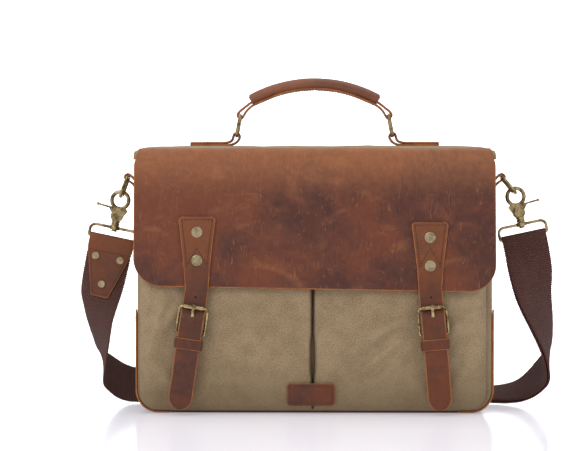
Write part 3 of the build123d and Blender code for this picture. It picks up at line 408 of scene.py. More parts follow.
def folds_at(x, z, folds):
    """Rise of a cloth's folds: each has two ends, a half width and a height."""
    rise = 0.0
    for x0, z0, x1, z1, half, height in folds:
        ax, az = x1 - x0, z1 - z0
        length = math.hypot(ax, az)
        share = ((x - x0) * ax + (z - z0) * az) / length ** 2
        if -0.02 < share < 1.02:
            off = ((x - x0) * az - (z - z0) * ax) / length / half
            crest = math.exp(-off * off) - 0.55 * math.exp(-((off - 1.7) ** 2))
            rise += height * crest * math.sin(math.pi * clamp(share)) ** 0.7
    return rise


class Track:
    """A line of points that is followed by its length."""

    def __init__(self, points, steps=8):
        points = [Vector(p) for p in points]
        self.points = smooth(points, steps) if steps > 1 else points
        self.lengths = [0.0]
        for here, there in zip(self.points, self.points[1:]):
            self.lengths.append(self.lengths[-1] + (there - here).length)
        self.length = self.lengths[-1]

    def at(self, place):
        place = clamp(place, 0, self.length)
        k = 0
        while k < len(self.lengths) - 2 and self.lengths[k + 1] < place:
            k += 1
        span = self.lengths[k + 1] - self.lengths[k]
        share = (place - self.lengths[k]) / span if span else 0.0
        return self.points[k].lerp(self.points[k + 1], share)


def smooth(points, steps):
    """Points of an even curve through the given points, with steps in each span."""
    curve = []
    for i in range(len(points) - 1):
        before = points[max(i - 1, 0)]
        here = points[i]
        there = points[i + 1]
        after = points[min(i + 2, len(points) - 1)]
        for k in range(steps):
            t = k / steps
            pull = (there - before) * t
            turn = (before * 2 - here * 5 + there * 4 - after) * t ** 2
            bend = (here * 3 - before - there * 3 + after) * t ** 3
            curve.append(here + (pull + turn + bend) * 0.5)
    return curve + [points[-1]]


def face_away(mesh, middle_of):
    """Turns a mesh's faces so that they look away from middle_of(their place)."""
    away = sum((p.center - middle_of(p.center)).dot(p.normal) * p.area for p in mesh.polygons)
    if away < 0:
        mesh.flip_normals()


def piece(name, vertices, faces, uvs, material, inside=None):
    """A smooth mesh from millimetres; inside is a point that its faces turn away from."""
    mesh = bpy.data.meshes.new(name)
    mesh.from_pydata([tuple(Vector(v) * MM) for v in vertices], [], faces)
    if uvs:
        layer = mesh.uv_layers.new(name="metres")
        for loop in mesh.loops:
            layer.data[loop.index].uv = [place * MM for place in uvs[loop.vertex_index]]
    mesh.update()
    if inside is not None:
        middle = Vector(inside) * MM
        face_away(mesh, lambda place: middle)
    mesh.shade_smooth()
    mesh.materials.append(material)
    made = bpy.data.objects.new(name, mesh)
    bpy.context.scene.collection.objects.link(made)
    return made


def skin(name, columns, rows, place, material, inside=None, closed=False):
    """A grid laid out by place(u, v), which gives a point and its spot on the cloth."""
    vertices = []
    uvs = []
    for j in range(rows + 1):
        for i in range(columns + 1):
            point, spot = place(i / columns, j / rows)
            vertices.append(point)
            uvs.append(spot)
    wide = columns + 1
    faces = []
    for j in range(rows):
        for i in range(columns):
            k = j * wide + i
            faces.append((k, k + 1, k + 1 + wide, k + wide))
    made = piece("sewn_" + name, vertices, faces, uvs, material, inside)
    if closed:
        modifier = made.modifiers.new("weld", "WELD")
        modifier.merge_threshold = 0.00001
        settle(made)
    return made


def settle(made):
    """Applies a piece's modifiers."""
    shaped = made.evaluated_get(bpy.context.evaluated_depsgraph_get())
    solid = bpy.data.meshes.new_from_object(shaped)
    made.modifiers.clear()
    made.data = solid


def thicken(made, thickness, side=-1.0, rim=None, soft=0.55):
    """Gives a sheet its thickness and soft edges; the cut edge takes its own material.
    side is -1 to grow inwards, 1 outwards and 0 both ways."""
    if rim is not None:
        made.data.materials.append(rim)
    wall = made.modifiers.new("wall", "SOLIDIFY")
    wall.thickness = thickness * MM
    wall.offset = side
    wall.use_even_offset = True
    wall.use_quality_normals = True
    wall.material_offset_rim = 1 if rim is not None else 0
    if soft:
        bevel = made.modifiers.new("soft_edge", "BEVEL")
        bevel.width = soft * MM
        bevel.segments = 2
        bevel.limit_method = "ANGLE"
        bevel.angle_limit = math.radians(50)
        bevel.material = 1 if rim is not None else -1
    settle(made)
    made.data.shade_smooth()


def ride(made, body, slot, *nodes):
    """The piece moves with a body and stands for the named nodes; slot is not used."""
    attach(made, body)
    if nodes:
        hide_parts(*nodes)


def bend(made, first, second, start, end, slot, *nodes):
    """Bakes the piece's place into its mesh and stands for the named nodes; it is not made to move with
    either body. first and second are not used, and start and end change nothing.
    """
    Vector(start) * MM
    Vector(end) * MM
    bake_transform(made)
    if nodes:
        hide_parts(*nodes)


def edge_colour_and_highlight(made, columns, sides, ends=0):
    """Puts the cut-edge material on the outermost cells of a grid's face: the leather's lighter cut edge,
    with a painted highlight where the edges catch the light.
    """
    for k, face in enumerate(made.data.polygons):
        column = k % columns
        if min(column, columns - 1 - column) < sides or k < columns * ends:
            face.material_index = 1


def band(name, track, to_space, width, thickness, columns=6, closed=False, bow=0.0):
    """A leather strap along a flat track: to_space(point, across) puts it in place,
    and width(length along) is its half width there. bow crowns its face."""
    rows = max(8, int(track.length / 2.0))

    def place(u, v):
        along = track.length * v
        half = width(along)
        step = round(u * columns)
        # The outermost columns make a strip up to 0.85 mm wide that takes the cut-edge colour and painted
        # edge highlight.
        if 0 < step < columns:
            across = max(half - 0.85, half * 0.5) * (2 * (step - 1) / (columns - 2) - 1)
        else:
            across = math.copysign(half, u - 0.5)
        tangent = (track.at(along + 0.4) - track.at(along - 0.4)).normalized()
        lift = Vector((tangent.y, -tangent.x)) * (bow * (1 - (2 * u - 1) ** 2))
        return to_space(track.at(along) + lift, across), (across, along)

    made = skin(name, columns, rows, place, TAN, closed=closed)
    # Painted highlight: the cut-edge colour on the face's outermost strip, where the edges catch the
    # light.
    edge_colour_and_highlight(made, columns, 1)
    thicken(made, thickness, 0.0, EDGE_AND_HIGHLIGHT, 0.9)
    return made


# ---- stitches, by geometry nodes
def stitch_tree():
    """Short threads laid end to end along a line, slightly uneven."""
    tree = bpy.data.node_groups.new("stitch_row", "GeometryNodeTree")
    face = tree.interface
    face.new_socket("Line", in_out="INPUT", socket_type="NodeSocketGeometry")
    for name, value in (("Pitch", 3.4 * MM), ("Length", 2.6 * MM), ("Thickness", 0.75 * MM)):
        face.new_socket(name, in_out="INPUT", socket_type="NodeSocketFloat").default_value = value
    face.new_socket("Thread", in_out="INPUT", socket_type="NodeSocketMaterial")
    face.new_socket("Stitches", in_out="OUTPUT", socket_type="NodeSocketGeometry")

    def node(kind, settings=None, **values):
        made = tree.nodes.new(kind)
        for name, value in (settings or {}).items():
            setattr(made, name, value)
        for name, value in values.items():
            socket = made.inputs[name.replace("_", " ")]
            if isinstance(value, bpy.types.NodeSocket):
                tree.links.new(value, socket)
            else:
                socket.default_value = value
        return made

    given = node("NodeGroupInput").outputs
    curve = node("GeometryNodeMeshToCurve", Mesh=given["Line"])
    even = node("GeometryNodeResampleCurve", {"mode": "LENGTH"}, Curve=curve.outputs[0],
                Length=given["Pitch"])
    halves = []
    for name in ("Length", "Thickness"):
        half = node("ShaderNodeMath", {"operation": "MULTIPLY"})
        tree.links.new(given[name], half.inputs[0])
        half.inputs[1].default_value = 0.5
        halves.append(half.outputs[0])
    long, thick = halves
    shape = node("ShaderNodeCombineXYZ", X=long, Y=thick, Z=thick)
    bead = node("GeometryNodeMeshUVSphere", Segments=6, Rings=5, Radius=1.0)
    turn = node("GeometryNodeTransform", Geometry=bead.outputs[0], Rotation=(0, math.radians(90), 0))
    thread = node("GeometryNodeTransform", Geometry=turn.outputs[0])
    tree.links.new(shape.outputs[0], thread.inputs["Scale"])
    tangent = node("GeometryNodeInputTangent")
    aim = node("FunctionNodeAlignRotationToVector", {"axis": "X"}, Vector=tangent.outputs[0])
    loose = node("FunctionNodeRandomValue", {"data_type": "FLOAT_VECTOR"}, Seed=7)
    loose.inputs[0].default_value = (0.85, 0.85, 0.85)
    loose.inputs[1].default_value = (1.05, 1.1, 1.1)
    rows = node("GeometryNodeInstanceOnPoints", Points=even.outputs[0], Instance=thread.outputs[0],
                Rotation=aim.outputs[0], Scale=loose.outputs[0])
    solid = node("GeometryNodeRealizeInstances", Geometry=rows.outputs[0])
    round_off = node("GeometryNodeSetShadeSmooth", Geometry=solid.outputs[0])
    coat = node("GeometryNodeSetMaterial", Geometry=round_off.outputs[0], Material=given["Thread"])
    out = tree.nodes.new("NodeGroupOutput")
    tree.links.new(coat.outputs[0], out.inputs[0])
    return tree


def stitches(name, lines, thread, pitch=3.6, length=2.7, thickness=1.05):
    """Sewing along lines of points that lie on a surface."""
    mesh = bpy.data.meshes.new(name)
    vertices = []
    edges = []
    for line in lines:
        start = len(vertices)
        vertices += [tuple(Vector(p) * MM) for p in line]
        edges += [(start + k, start + k + 1) for k in range(len(line) - 1)]
    mesh.from_pydata(vertices, edges, [])
    made = bpy.data.objects.new(name, mesh)
    bpy.context.scene.collection.objects.link(made)
    modifier = made.modifiers.new("stitches", "NODES")
    modifier.node_group = STITCH_TREE
    values = {"Pitch": pitch * MM, "Length": length * MM, "Thickness": thickness * MM,
              "Thread": thread}
    for item in STITCH_TREE.interface.items_tree:
        if item.in_out == "INPUT" and item.name in values:
            modifier[item.identifier] = values[item.name]
    settle(made)
    return made


def sew_canvas(name, lines):
    """The fine khaki seams of the canvas."""
    made = stitches(name, lines, LOOKS["canvas_thread"], 3.0, 2.3, 0.7)
    ride(made, "root", "canvas")


make_camera()
LOOKS = make_materials()
STITCH_TREE = stitch_tree()
CANVAS = LOOKS["canvas"]
TAN = LOOKS["strap_leather"]
# The cut-edge material, also the painted edge highlight.
EDGE_AND_HIGHLIGHT = LOOKS["edge"]
THREAD = LOOKS["thread"]


# ---- body
def around(along, half, corner, floor, top):
    """Down the left side, along the floor and up the right: a point and its outward way."""
    side = top - floor - corner
    turn = math.pi / 2 * corner
    flat = 2 * (half - corner)
    if along <= side:
        return Vector((-half, 0, top - along)), Vector((-1, 0, 0))
    if along <= side + turn:
        angle = (along - side) / corner
        out = Vector((-math.cos(angle), 0, -math.sin(angle)))
        return Vector((corner - half, 0, floor + corner)) + out * corner, out
    if along <= side + turn + flat:
        return Vector((corner - half + along - side - turn, 0, floor)), Vector((0, 0, -1))
    mirror, out = around(2 * (side + turn) + flat - along, half, corner, floor, top)
    return Vector((-mirror.x, 0, mirror.z)), Vector((-out.x, 0, out.z))


def way_round(half, corner, floor, top):
    """The length of the whole way that around follows."""
    return 2 * (top - floor - corner) + math.pi * corner + 2 * (half - corner)


def shell_half(z):
    """Half width of the shell's rounded outline at a height."""
    down = clamp((SHELL_FLOOR + SHELL_CORNER - z) / SHELL_CORNER)
    return SHELL_HALF - SHELL_CORNER * (1 - math.sqrt(1 - down * down))


def make_panel(name, sign, bulge):
    """The front or back canvas panel, its edge turned in to the seam; bulge crowns it."""
    face = BACK_Y if sign > 0 else -FRONT_Y

    def place(u, v):
        z = SHELL_FLOOR + (TOP_Z - SHELL_FLOOR) * v ** 1.25
        half = shell_half(z)
        x = (2 * to_edges(u, 0.1) - 1) * half
        edge = min(half - abs(x), z - SHELL_FLOOR + 0.01)
        roll = 2.4 * (1 - arch(edge / 5))
        crown = bulge * (1 - (x / half) ** 4) * math.sin(math.pi * clamp((z - 10) / 330)) ** 0.6
        soft = 0.0
        if bulge:
            soft = (1.6 * wave(x, z, 90, sign * 3.1) + 0.5 * wave(x, z, 28, 1.3)) * arch(edge / 60)
        return (x, sign * (face - roll + crown + soft), z), (x, z)

    made = skin(name, 110, 80, place, CANVAS, (0, 0, 150))
    thicken(made, CANVAS_THICK)
    ride(made, "root", "canvas", name)


def make_gusset():
    """The strip round the sides and floor, pinched in by two soft creases at each side."""
    length = way_round(SHELL_HALF, SHELL_CORNER, SHELL_FLOOR, TOP_Z)
    deep = BACK_Y - 2.4

    def place(u, v):
        along = length * v
        point, out = around(along, SHELL_HALF, SHELL_CORNER, SHELL_FLOOR, TOP_Z)
        y = (2 * u - 1) * deep
        high_up = ease((point.z - 110) / 120)
        crease = math.exp(-((abs(y) - 27) / 9) ** 2) * 3.6
        roll = 1.4 * (1 - arch((deep - abs(y)) / 4))
        soft = 0.7 * wave(y, along, 40, 2.2) * high_up
        return point - out * (crease * high_up + roll + soft + 0.1) + Vector((0, y, 0)), (y, along)

    made = skin("gusset", 48, 240, place, CANVAS, (0, 0, 200))
    thicken(made, CANVAS_THICK)
    ride(made, "root", "canvas", "gusset")


def make_lining():
    """The cloth bag inside: walls down from the rim, then the floor."""
    top, floor = high("lining").z, low("lining").z
    half, deep, corner = high("lining").x - 4.5, high("lining").y - 0.5, 9.0
    walls = ((half, -deep), (half, deep), (-half, deep), (-half, -deep))

    def rim(u):
        wall = int(u * 4)
        here, there = Vector(walls[wall % 4]), Vector(walls[(wall + 1) % 4])
        point = here.lerp(there, u * 4 - wall)
        near_x = max(0.0, corner - (half - abs(point.x)))
        pull = near_x * max(0.0, corner - (deep - abs(point.y))) / corner * 0.3
        return point - Vector((math.copysign(pull, point.x), math.copysign(pull, point.y)))

    def place(u, v):
        point = rim(u)
        down = clamp(v / 0.75)
        z = top - (top - floor) * down
        ripple = 0.5 * wave(point.x + point.y, z, 30, 4.4) * math.sin(math.pi * down)
        shrink = 1 - 0.999 * clamp((v - 0.75) / 0.25)
        lower = 8 * max(0.0, down - 0.9) * (abs(point.x) / half) ** 6
        x = point.x * shrink * (1 - lower / half) - math.copysign(ripple, point.x) * down
        y = point.y * shrink - math.copysign(abs(ripple), point.y)
        return (x, y, z), (point.x, z)

    made = skin("lining", 120, 60, place, LOOKS["lining"], (0, 0, 600), closed=True)
    thicken(made, 0.9, 1.0)
    ride(made, "root", "lining", "lining")


GUARD_CORNER = 26
GUARD_START = 300


def guard_top(y, deep):
    """Height of a guard's upper edge, cut in a curve."""
    return 75 + 43 * (y / deep) ** 2


def make_guards():
    """Leather round the lower corners, from the curved upper edge to the floor's leather."""
    flat = HALF_WIDTH - abs(low("guard_right").x)
    last = GUARD_START - GUARD_CORNER + math.pi / 2 * GUARD_CORNER + flat - GUARD_CORNER
    for side, word in SIDES:
        deep = high("guard_" + word).y

        def place(u, v):
            y = (2 * u - 1) * deep
            first = GUARD_START - guard_top(y, deep)
            along = first + (last - first) * v
            point, out = around(along, HALF_WIDTH, GUARD_CORNER, 0, GUARD_START)
            point.x *= -side
            out.x *= -side
            return point - out * 0.1 + Vector((0, y, 0)), (y, along)

        made = skin("guard_" + word, 30, 60, place, TAN, (0, 0, 150))
        thicken(made, LEATHER_THICK, rim=EDGE_AND_HIGHLIGHT)
        ride(made, "root", "strap_leather", "guard_" + word)
        line = []
        for k in range(40):
            y = (k / 19.5 - 1) * (deep - 4)
            line.append((side * (HALF_WIDTH + 0.1), y, guard_top(y, deep) - 4))
        ride(stitches("guard_seam_" + word, [line], THREAD), "root", "strap_leather")


def make_bottom():
    """The leather under the bag, between the guards."""
    start, end = low("bottom_panel"), high("bottom_panel")

    def place(u, v):
        x = start.x + (end.x - start.x) * u
        y = (start.y + (end.y - start.y) * v) * 0.96
        return (x, y, 0.1), (x, y)

    made = skin("bottom_panel", 60, 20, place, TAN, (0, 0, 100))
    thicken(made, LEATHER_THICK)
    ride(made, "root", "strap_leather", "bottom_panel")


# ---- pockets
POCKET_FACE = -66.0
POCKET_CURL = 0.0078
POCKET_CORNER = 20
SNAPS = [(low("snap_cap_" + word) + high("snap_cap_" + word)) / 2 for _, word in SIDES]
POCKET_FOLDS = [
    (112, 112, 22, 62, 7, 3.4), (108, 92, 40, 40, 6, 2.8), (112, 76, 56, 22, 6, 1.9),
    (186, 122, 148, 88, 6, 2.2), (-164, 136, -188, 74, 6, 3.0), (-146, 128, -176, 88, 6, 2.2),
    (-52, 52, -116, 66, 8, 1.6), (178, 62, 150, 26, 7, 1.8), (-104, 44, -56, 22, 8, 1.6),
    (70, 136, 14, 100, 7, 1.5), (-180, 62, -150, 20, 7, 2.0), (-40, 128, -104, 96, 8, 1.3),
]


def pocket_face(z):
    """Where the pockets' plain front stands: it curls in towards the floor."""
    return POCKET_FACE + max(0.0, 40 - z) ** 2 * POCKET_CURL


def pocket_y(x, z):
    """How far forward the pockets' cloth stands, folds and all."""
    y = pocket_face(z) + max(0.0, z - 150) * 0.06
    calm = 1.0
    for snap in SNAPS:
        calm = min(calm, ease((math.hypot(x - snap.x, z - snap.z) - 9) / 26))
    under_flap = ease((175 - z) / 35)
    soft = 2.2 * wave(x, z, 58, 0.4) + 1.3 * wave(x, z, 23, 2.6) + 0.4 * wave(x, z, 10, 5.1)
    return y - (soft * 0.9 + 1.5 * folds_at(x, z, POCKET_FOLDS)) * calm * under_flap


def make_pocket(word, outer, inner):
    """A bellows pocket: rounded at its outer side and floor, open at the top."""
    side = math.copysign(1, outer)

    def place(u, v):
        z = POCKET_FLOOR + (POCKET_TOP - POCKET_FLOOR) * v ** 1.3
        gap = 1.5 * ease((92 - z) / 16) * ease((z - 40) / 10)
        near = inner + side * gap
        down = clamp((POCKET_FLOOR + POCKET_CORNER - z) / POCKET_CORNER)
        far = outer - side * POCKET_CORNER * (1 - math.sqrt(1 - down * down))
        share = to_edges(u, 0.12)
        x = near + (far - near) * share
        swell = arch(abs(far - x) / 13) * arch(abs(x - near) / 3.5) * arch((z - POCKET_FLOOR + 0.2) / 8)
        y = FRONT_Y + (pocket_y(x, z) - FRONT_Y) * max(swell, 0.02)
        return (x, y - 0.1, z), (x + 0.15 * z, z)

    made = skin("pocket_" + word, 150, 150, place, CANVAS, (outer / 2, 0, 120))
    thicken(made, CANVAS_THICK)
    ride(made, "root", "canvas", "pocket_" + word)
    hem = []
    hem_z = POCKET_TOP - 9
    for k in range(60):
        x = inner + (outer - inner) * (0.06 + 0.88 * k / 59)
        hem.append((x, pocket_y(x, hem_z) - 0.3, hem_z))
    sew_canvas("pocket_hem_" + word, [hem])


def make_slit_patch():
    """The small leather patch sewn over the foot of the slit."""
    start, end = low("slit_patch"), high("slit_patch")
    corner = 4
    inset = 3.2

    def spot(x, z):
        return Vector((x, pocket_face(z) - 1.6, z))

    def place(u, v):
        z = start.z + (end.z - start.z) * v
        near = min(z - start.z, end.z - z)
        trim = corner - math.sqrt(max(0.0, corner ** 2 - max(0.0, corner - near) ** 2))
        x = start.x + trim + (end.x - start.x - 2 * trim) * u
        return spot(x, z), (x, z)

    made = skin("slit_patch", 40, 24, place, TAN, (0, 0, 30))
    thicken(made, LEATHER_THICK, 0.0, EDGE_AND_HIGHLIGHT, 0.8)
    ride(made, "root", "strap_leather", "slit_patch")
    left, right = start.x + inset, end.x - inset
    lower, upper = start.z + inset, end.z - inset
    line = Track([(left, upper), (right, upper), (right, lower), (left, lower), (left, upper)], 1)
    points = [line.at(line.length * k / 60) for k in range(61)]
    sewn = [spot(p.x, p.y) + Vector((0, -1.05, 0)) for p in points]
    ride(stitches("slit_patch_seam", [sewn], THREAD), "root", "strap_leather")


# ---- flap
FLAP_FOLD = 152.5
FLAP_ROLL = 6.0


def flap_rise(x, up):
    """The flap leather's slow waves, calm under the closures."""
    calm = min(ease((abs(x - c.x) - 24) / 34) for c in CLOSURES)
    soft = 1.7 * wave(x, up, 120, 6.1) + 0.8 * wave(x, up, 46, 8.4) + 0.15 * wave(x, up, 12, 3.3)
    return soft * calm * ease(1.25 - up / 160)


def flap_point(x, up, off=0.0):
    """A point on the flap: x across, up along it from its lower edge, off in front."""
    off += flap_rise(x, up)
    out = Vector((0, -math.cos(FLAP_LEAN), math.sin(FLAP_LEAN)))
    along = Vector((0, math.sin(FLAP_LEAN), math.cos(FLAP_LEAN)))
    point = FLAP_EDGE + along * min(up, FLAP_FOLD) + Vector((x, 0, 0))
    if up > FLAP_FOLD:
        turn = (up - FLAP_FOLD) / FLAP_ROLL
        point += (along * math.sin(turn) - out * (1 - math.cos(turn))) * FLAP_ROLL
        out = out * math.cos(turn) + along * math.sin(turn)
    return point + out * off


def make_flap_leather():
    """The flap's leather, from its slightly slanting lower edge to just past the front fold."""
    top = 160.0
    # The lowest row is edge millimetres tall: a strip for the cut-edge colour and painted edge highlight.
    edge = 1.0
    slant = 0.0172
    columns, rows = 170, 90

    def place(u, v):
        side = 2 * u - 1
        share = abs(side)
        if share < 0.8:
            x = share / 0.8 * (FLAP_HALF - FLAP_CORNER)
        else:
            x = FLAP_HALF - FLAP_CORNER + FLAP_CORNER * math.sin((share - 0.8) / 0.2 * math.pi / 2)
        x = math.copysign(x, side)
        bottom = -slant * x
        beyond = max(0.0, abs(x) - FLAP_HALF + FLAP_CORNER)
        bottom += FLAP_CORNER - math.sqrt(FLAP_CORNER ** 2 - beyond ** 2)
        up = bottom
        if v > 0:
            up += edge + (top - bottom - edge) * (v * rows - 1) / (rows - 1)
        pull = 5.5 * ease((up - 138) / 22) * (abs(x) / FLAP_HALF) ** 3
        return flap_point(x - math.copysign(pull, x), up), (x, up)

    made = skin("flap_leather", columns, rows, place, LOOKS["flap_leather"], (0, 0, 220))
    # Painted highlight: the cut-edge colour on the face's three outermost columns each side and its lowest
    # row, where the edges catch the light.
    edge_colour_and_highlight(made, columns, 3, 1)
    thicken(made, 2.8, 0.0, EDGE_AND_HIGHLIGHT, 1.15)
    bend(made, "flap_front", "flap_top", (0, -60, 287), (0, -54, 300), "flap_leather", "flap_leather")


def make_flap_canvas():
    """The canvas over the top of the bag, sewn down on the back."""
    track = Track([(-57.0, 287), (-56.2, 293), (-53.6, 297), (-45, 300.4), (-25, 303.1), (0, 303.9),
                   (25, 303.4), (42, 301.9), (50.5, 298.6), (53.6, 292), (54.6, 282), (54.9, 268)])

    def place(u, v):
        along = track.length * v
        point = track.at(along)
        x = (2 * to_edges(u, 0.08) - 1) * (HALF_WIDTH + 1.5)
        end = (abs(x) / HALF_WIDTH) ** 24
        soft = 0.8 * wave(x, along, 50, 9.2) + 0.4 * wave(x, along, 18, 4.1)
        soft = soft * arch(v * 5) * arch((1 - v) * 5)
        calm = min(1.0, ease((abs(abs(x) - 115) - 32) / 20) + ease((abs(point.x) - 14) / 14))
        z = point.y + soft * calm - 5.5 * end * math.sin(math.pi * v) ** 0.5
        return (x, point.x, z), (x, along)

    made = skin("flap_canvas", 130, 60, place, CANVAS, (0, 0, 200))
    thicken(made, CANVAS_THICK)
    bend(made, "flap_top", "root", (0, 50, 301), (0, 54.5, 286), "canvas", "flap_canvas")
    rows = [[(x * 4.0, 55.3, z) for x in range(-49, 50)] for z in (275, 280.5)]
    sew_canvas("flap_seam", rows)


# ---- closures
CLOSURES = [pivot("closure_%s_lift" % word) for _, word in SIDES]
LEANS = (math.radians(8.5), math.radians(-5))
TAB_TOPS = (81, 75)
TAB_FOOT = 17
TAB_SLOPE = math.tan(FLAP_LEAN)


def closure_space(which):
    """Turns (y, z) and across, measured from a closure's hinge, into place.
    The tab on the flap hangs straight; the strap leans from the hinge down."""
    hinge = CLOSURES[which]

    def to_space(point, across):
        lean = LEANS[which] * ease((7 - point.y) / 14)
        x = hinge.x + across * math.cos(lean) + point.y * math.sin(lean)
        z = hinge.z - across * math.sin(lean) + point.y * math.cos(lean)
        return Vector((x, hinge.y + point.x, z))

    return to_space


def tab_half(up, top):
    """Half width of the tab on the flap, from its foot to its top."""
    return 14 + 7 * clamp((up - TAB_FOOT) / (top - TAB_FOOT)) ** 1.15


def make_closure_strap(which, word):
    """One strap from the tab sewn on the flap, under the roller, to its rounded tail."""
    top = TAB_TOPS[which]
    on_flap = [(up * TAB_SLOPE, up) for up in (top, 40, TAB_FOOT)]
    track = Track(on_flap + [
        (0, 0), (-0.2, -11), (-0.5, -20.5), (-2.4, -25.5), (-5.7, -30.5), (-7.4, -37), (-7.5, -51),
        (-7.1, -66), (-4.9, -91), (-2.4, -116), (-1.0, -135.5)])
    to_space = closure_space(which)

    def half(along):
        up = top - along
        wide = tab_half(up, top) if up > TAB_FOOT else 13 + ease(up / TAB_FOOT)
        if along < 5:
            wide -= 5 - math.sqrt(max(0.0, 25 - (5 - along) ** 2))
        left = track.length - along
        if left < 15:
            wide = min(wide, 0.6 + 12.4 * math.sqrt(max(0.0, 1 - (1 - left / 15) ** 2.2)))
        return wide

    made = band("closure_strap_" + word, track, to_space, half, 2.6, 10, bow=0.5)
    nodes = ("closure_upper_" + word, "closure_lower_" + word)
    above = to_space(Vector((0.5, 7)), 0)
    below = to_space(Vector((0, -7)), 0)
    bend(made, "flap_front", "closure_" + word, above, below, "strap_leather", *nodes)


def make_closure_seam(which, word):
    """The sewing inside the tab's edge, and its peaked row across the foot."""
    top = TAB_TOPS[which]
    to_space = closure_space(which)

    def on_tab(up, across):
        return to_space(Vector((up * TAB_SLOPE - 1.9, up)), across)

    foot, head = 26, top - 3.2
    rim = []
    for k in range(26):
        up = foot + (head - foot) * k / 25
        rim.append((up, tab_half(up, top) - 3.4))
    narrow, wide = rim[0][1], rim[-1][1]
    upper = [on_tab(up, -across) for up, across in rim]
    upper += [on_tab(head, wide * (k / 6 - 1)) for k in range(1, 12)]
    upper += [on_tab(up, across) for up, across in rim[::-1]]
    corners = ((foot, -narrow), (32, -8.5), (46, 0), (32, 8.5), (foot, narrow))
    peak = [on_tab(up, across) for up, across in corners]
    seam = stitches("closure_seam_" + word, [upper, peak], THREAD, 3.3, 2.5, 1.05)
    ride(seam, "flap_front", "strap_leather")


def make_closure_hole(which, word):
    """The small punched hole in the strap, just below the flap: a near-black disc on the strap, painted
    shade standing in for the hole.
    """
    to_space = closure_space(which)
    radius = 1.3
    rim = []
    for k in range(20):
        turn = 2 * math.pi * k / 20
        spot = Vector((-2.02, -9 + radius * math.sin(turn)))
        rim.append(to_space(spot, radius * math.cos(turn)))
    faces = [tuple(range(20))]
    # Painted shade: a thin near-black disc on the strap stands for the hole's dark inside.
    made = piece("closure_hole_" + word, rim, faces, None, LOOKS["painted_hole_shade"], (0, 0, 100))
    thicken(made, 0.25, soft=0)
    ride(made, "closure_" + word, "strap_leather")


def make_buckle_tab(which, word):
    """The tab that holds the buckle: it goes round the low bar and down behind the strap."""
    to_space = closure_space(which)
    track = Track([(2.0, -95), (2.0, -70), (1.9, -58), (1.7, -52), (0.6, -48.4), (-1.3, -47.6),
                   (-3.2, -48.8), (-4.3, -51.5), (-4.4, -56), (-4.4, -65)])

    def half(along):
        if along < 10:
            return 2.5 + 10 * math.sqrt(max(0.0, 1 - (1 - along / 10) ** 2))
        return 12.5

    made = band("buckle_tab_" + word, track, to_space, half, 2.3, 8)
    ride(made, "closure_" + word, "strap_leather", "buckle_tab_" + word)


def make_keeper(which, word):
    """The loop that holds the strap's tail."""
    to_space = closure_space(which)
    corners = [(-9.0, 0), (-9.4, 10.5), (-7.5, 14.2), (0, 14.5), (3.6, 13.5), (4.6, 9), (4.8, 0),
               (4.6, -9), (3.6, -13.5), (0, -14.5), (-7.5, -14.2), (-9.4, -10.5), (-9.0, 0)]
    loop = Track([Vector((y, x)) for y, x in corners], 6)

    def place(u, v):
        spot = loop.at(loop.length * u)
        z = -55.6 - 12.4 * v
        bow = 0.5 * math.sin(math.pi * v)
        spot = spot * (1 + bow / 14)
        return to_space(Vector((spot.x, z)), spot.y), (z, loop.length * u)

    made = skin("keeper_" + word, 60, 8, place, TAN, closed=True)
    middle = to_space(Vector((-2, -62)), 0) * MM
    face_away(made.data, lambda place: middle)
    thicken(made, LEATHER_THICK, 0.0, EDGE_AND_HIGHLIGHT, 0.8)
    ride(made, "closure_" + word, "strap_leather", "keeper_" + word)


def make_closures():
    for which, (_, word) in enumerate(SIDES):
        make_closure_strap(which, word)
        make_closure_seam(which, word)
        make_closure_hole(which, word)
        make_buckle_tab(which, word)
        make_keeper(which, word)


# ---- handle
def in_profile(side=1):
    """Turns (x, z) and across into place, for straps that lie along the bag's width."""
    return lambda point, across: Vector((side * point.x, across, point.y))


def make_grip():
    """The padded grip: a leather sleeve, its edges joined underneath."""
    radius = 151.6
    middle = Vector((0, 0, 375.3 - radius))
    reach = math.radians(29.2)

    def place(u, v):
        end = min(v, 1 - v) * 2
        open_up = 0.55 + 0.45 * arch(end / 0.035)
        turn = 2 * math.pi * u
        swing = reach * (2 * v - 1)
        out = Vector((math.sin(swing), 0, math.cos(swing)))
        across = math.sin(turn)
        lift = -math.cos(turn)
        seam = math.exp(-((u if u < 0.5 else 1 - u) / 0.02) ** 2)
        notch = 0.9 * math.exp(-(swing / 0.012) ** 2) * (lift < -0.6)
        squash = 7.0 if lift > 0 else 6.6 + 0.8 * seam
        soft = 0.12 * wave(swing * 150, u * 50, 9, 2.0)
        along = radius * swing
        size = open_up * (1 + soft * 0.1)
        point = middle + out * (radius + lift * (squash - notch) * size)
        point += Vector((0, across * 9.2 * size * (1 - 0.05 * lift), 0))
        return point, (u * 52, along)

    made = skin("handle_grip", 40, 90, place, LOOKS["grip_leather"], (0, 0, 200), closed=True)

    def axis(place):
        out = Vector((place.x, 0, place.z - middle.z * MM)).normalized()
        return middle * MM + out * radius * MM

    face_away(made.data, axis)
    thicken(made, 1.4, -1.0, EDGE_AND_HIGHLIGHT, 0.25)
    ride(made, "handle", "grip_leather", "handle_grip")
    seam = []
    for k in range(70):
        swing = reach * 0.95 * (k / 34.5 - 1)
        seam.append(middle + Vector((math.sin(swing), 0, math.cos(swing))) * (radius - 7.5))
    ride(stitches("grip_seam", [seam], THREAD, 3.2, 2.4, 0.8), "handle", "grip_leather")


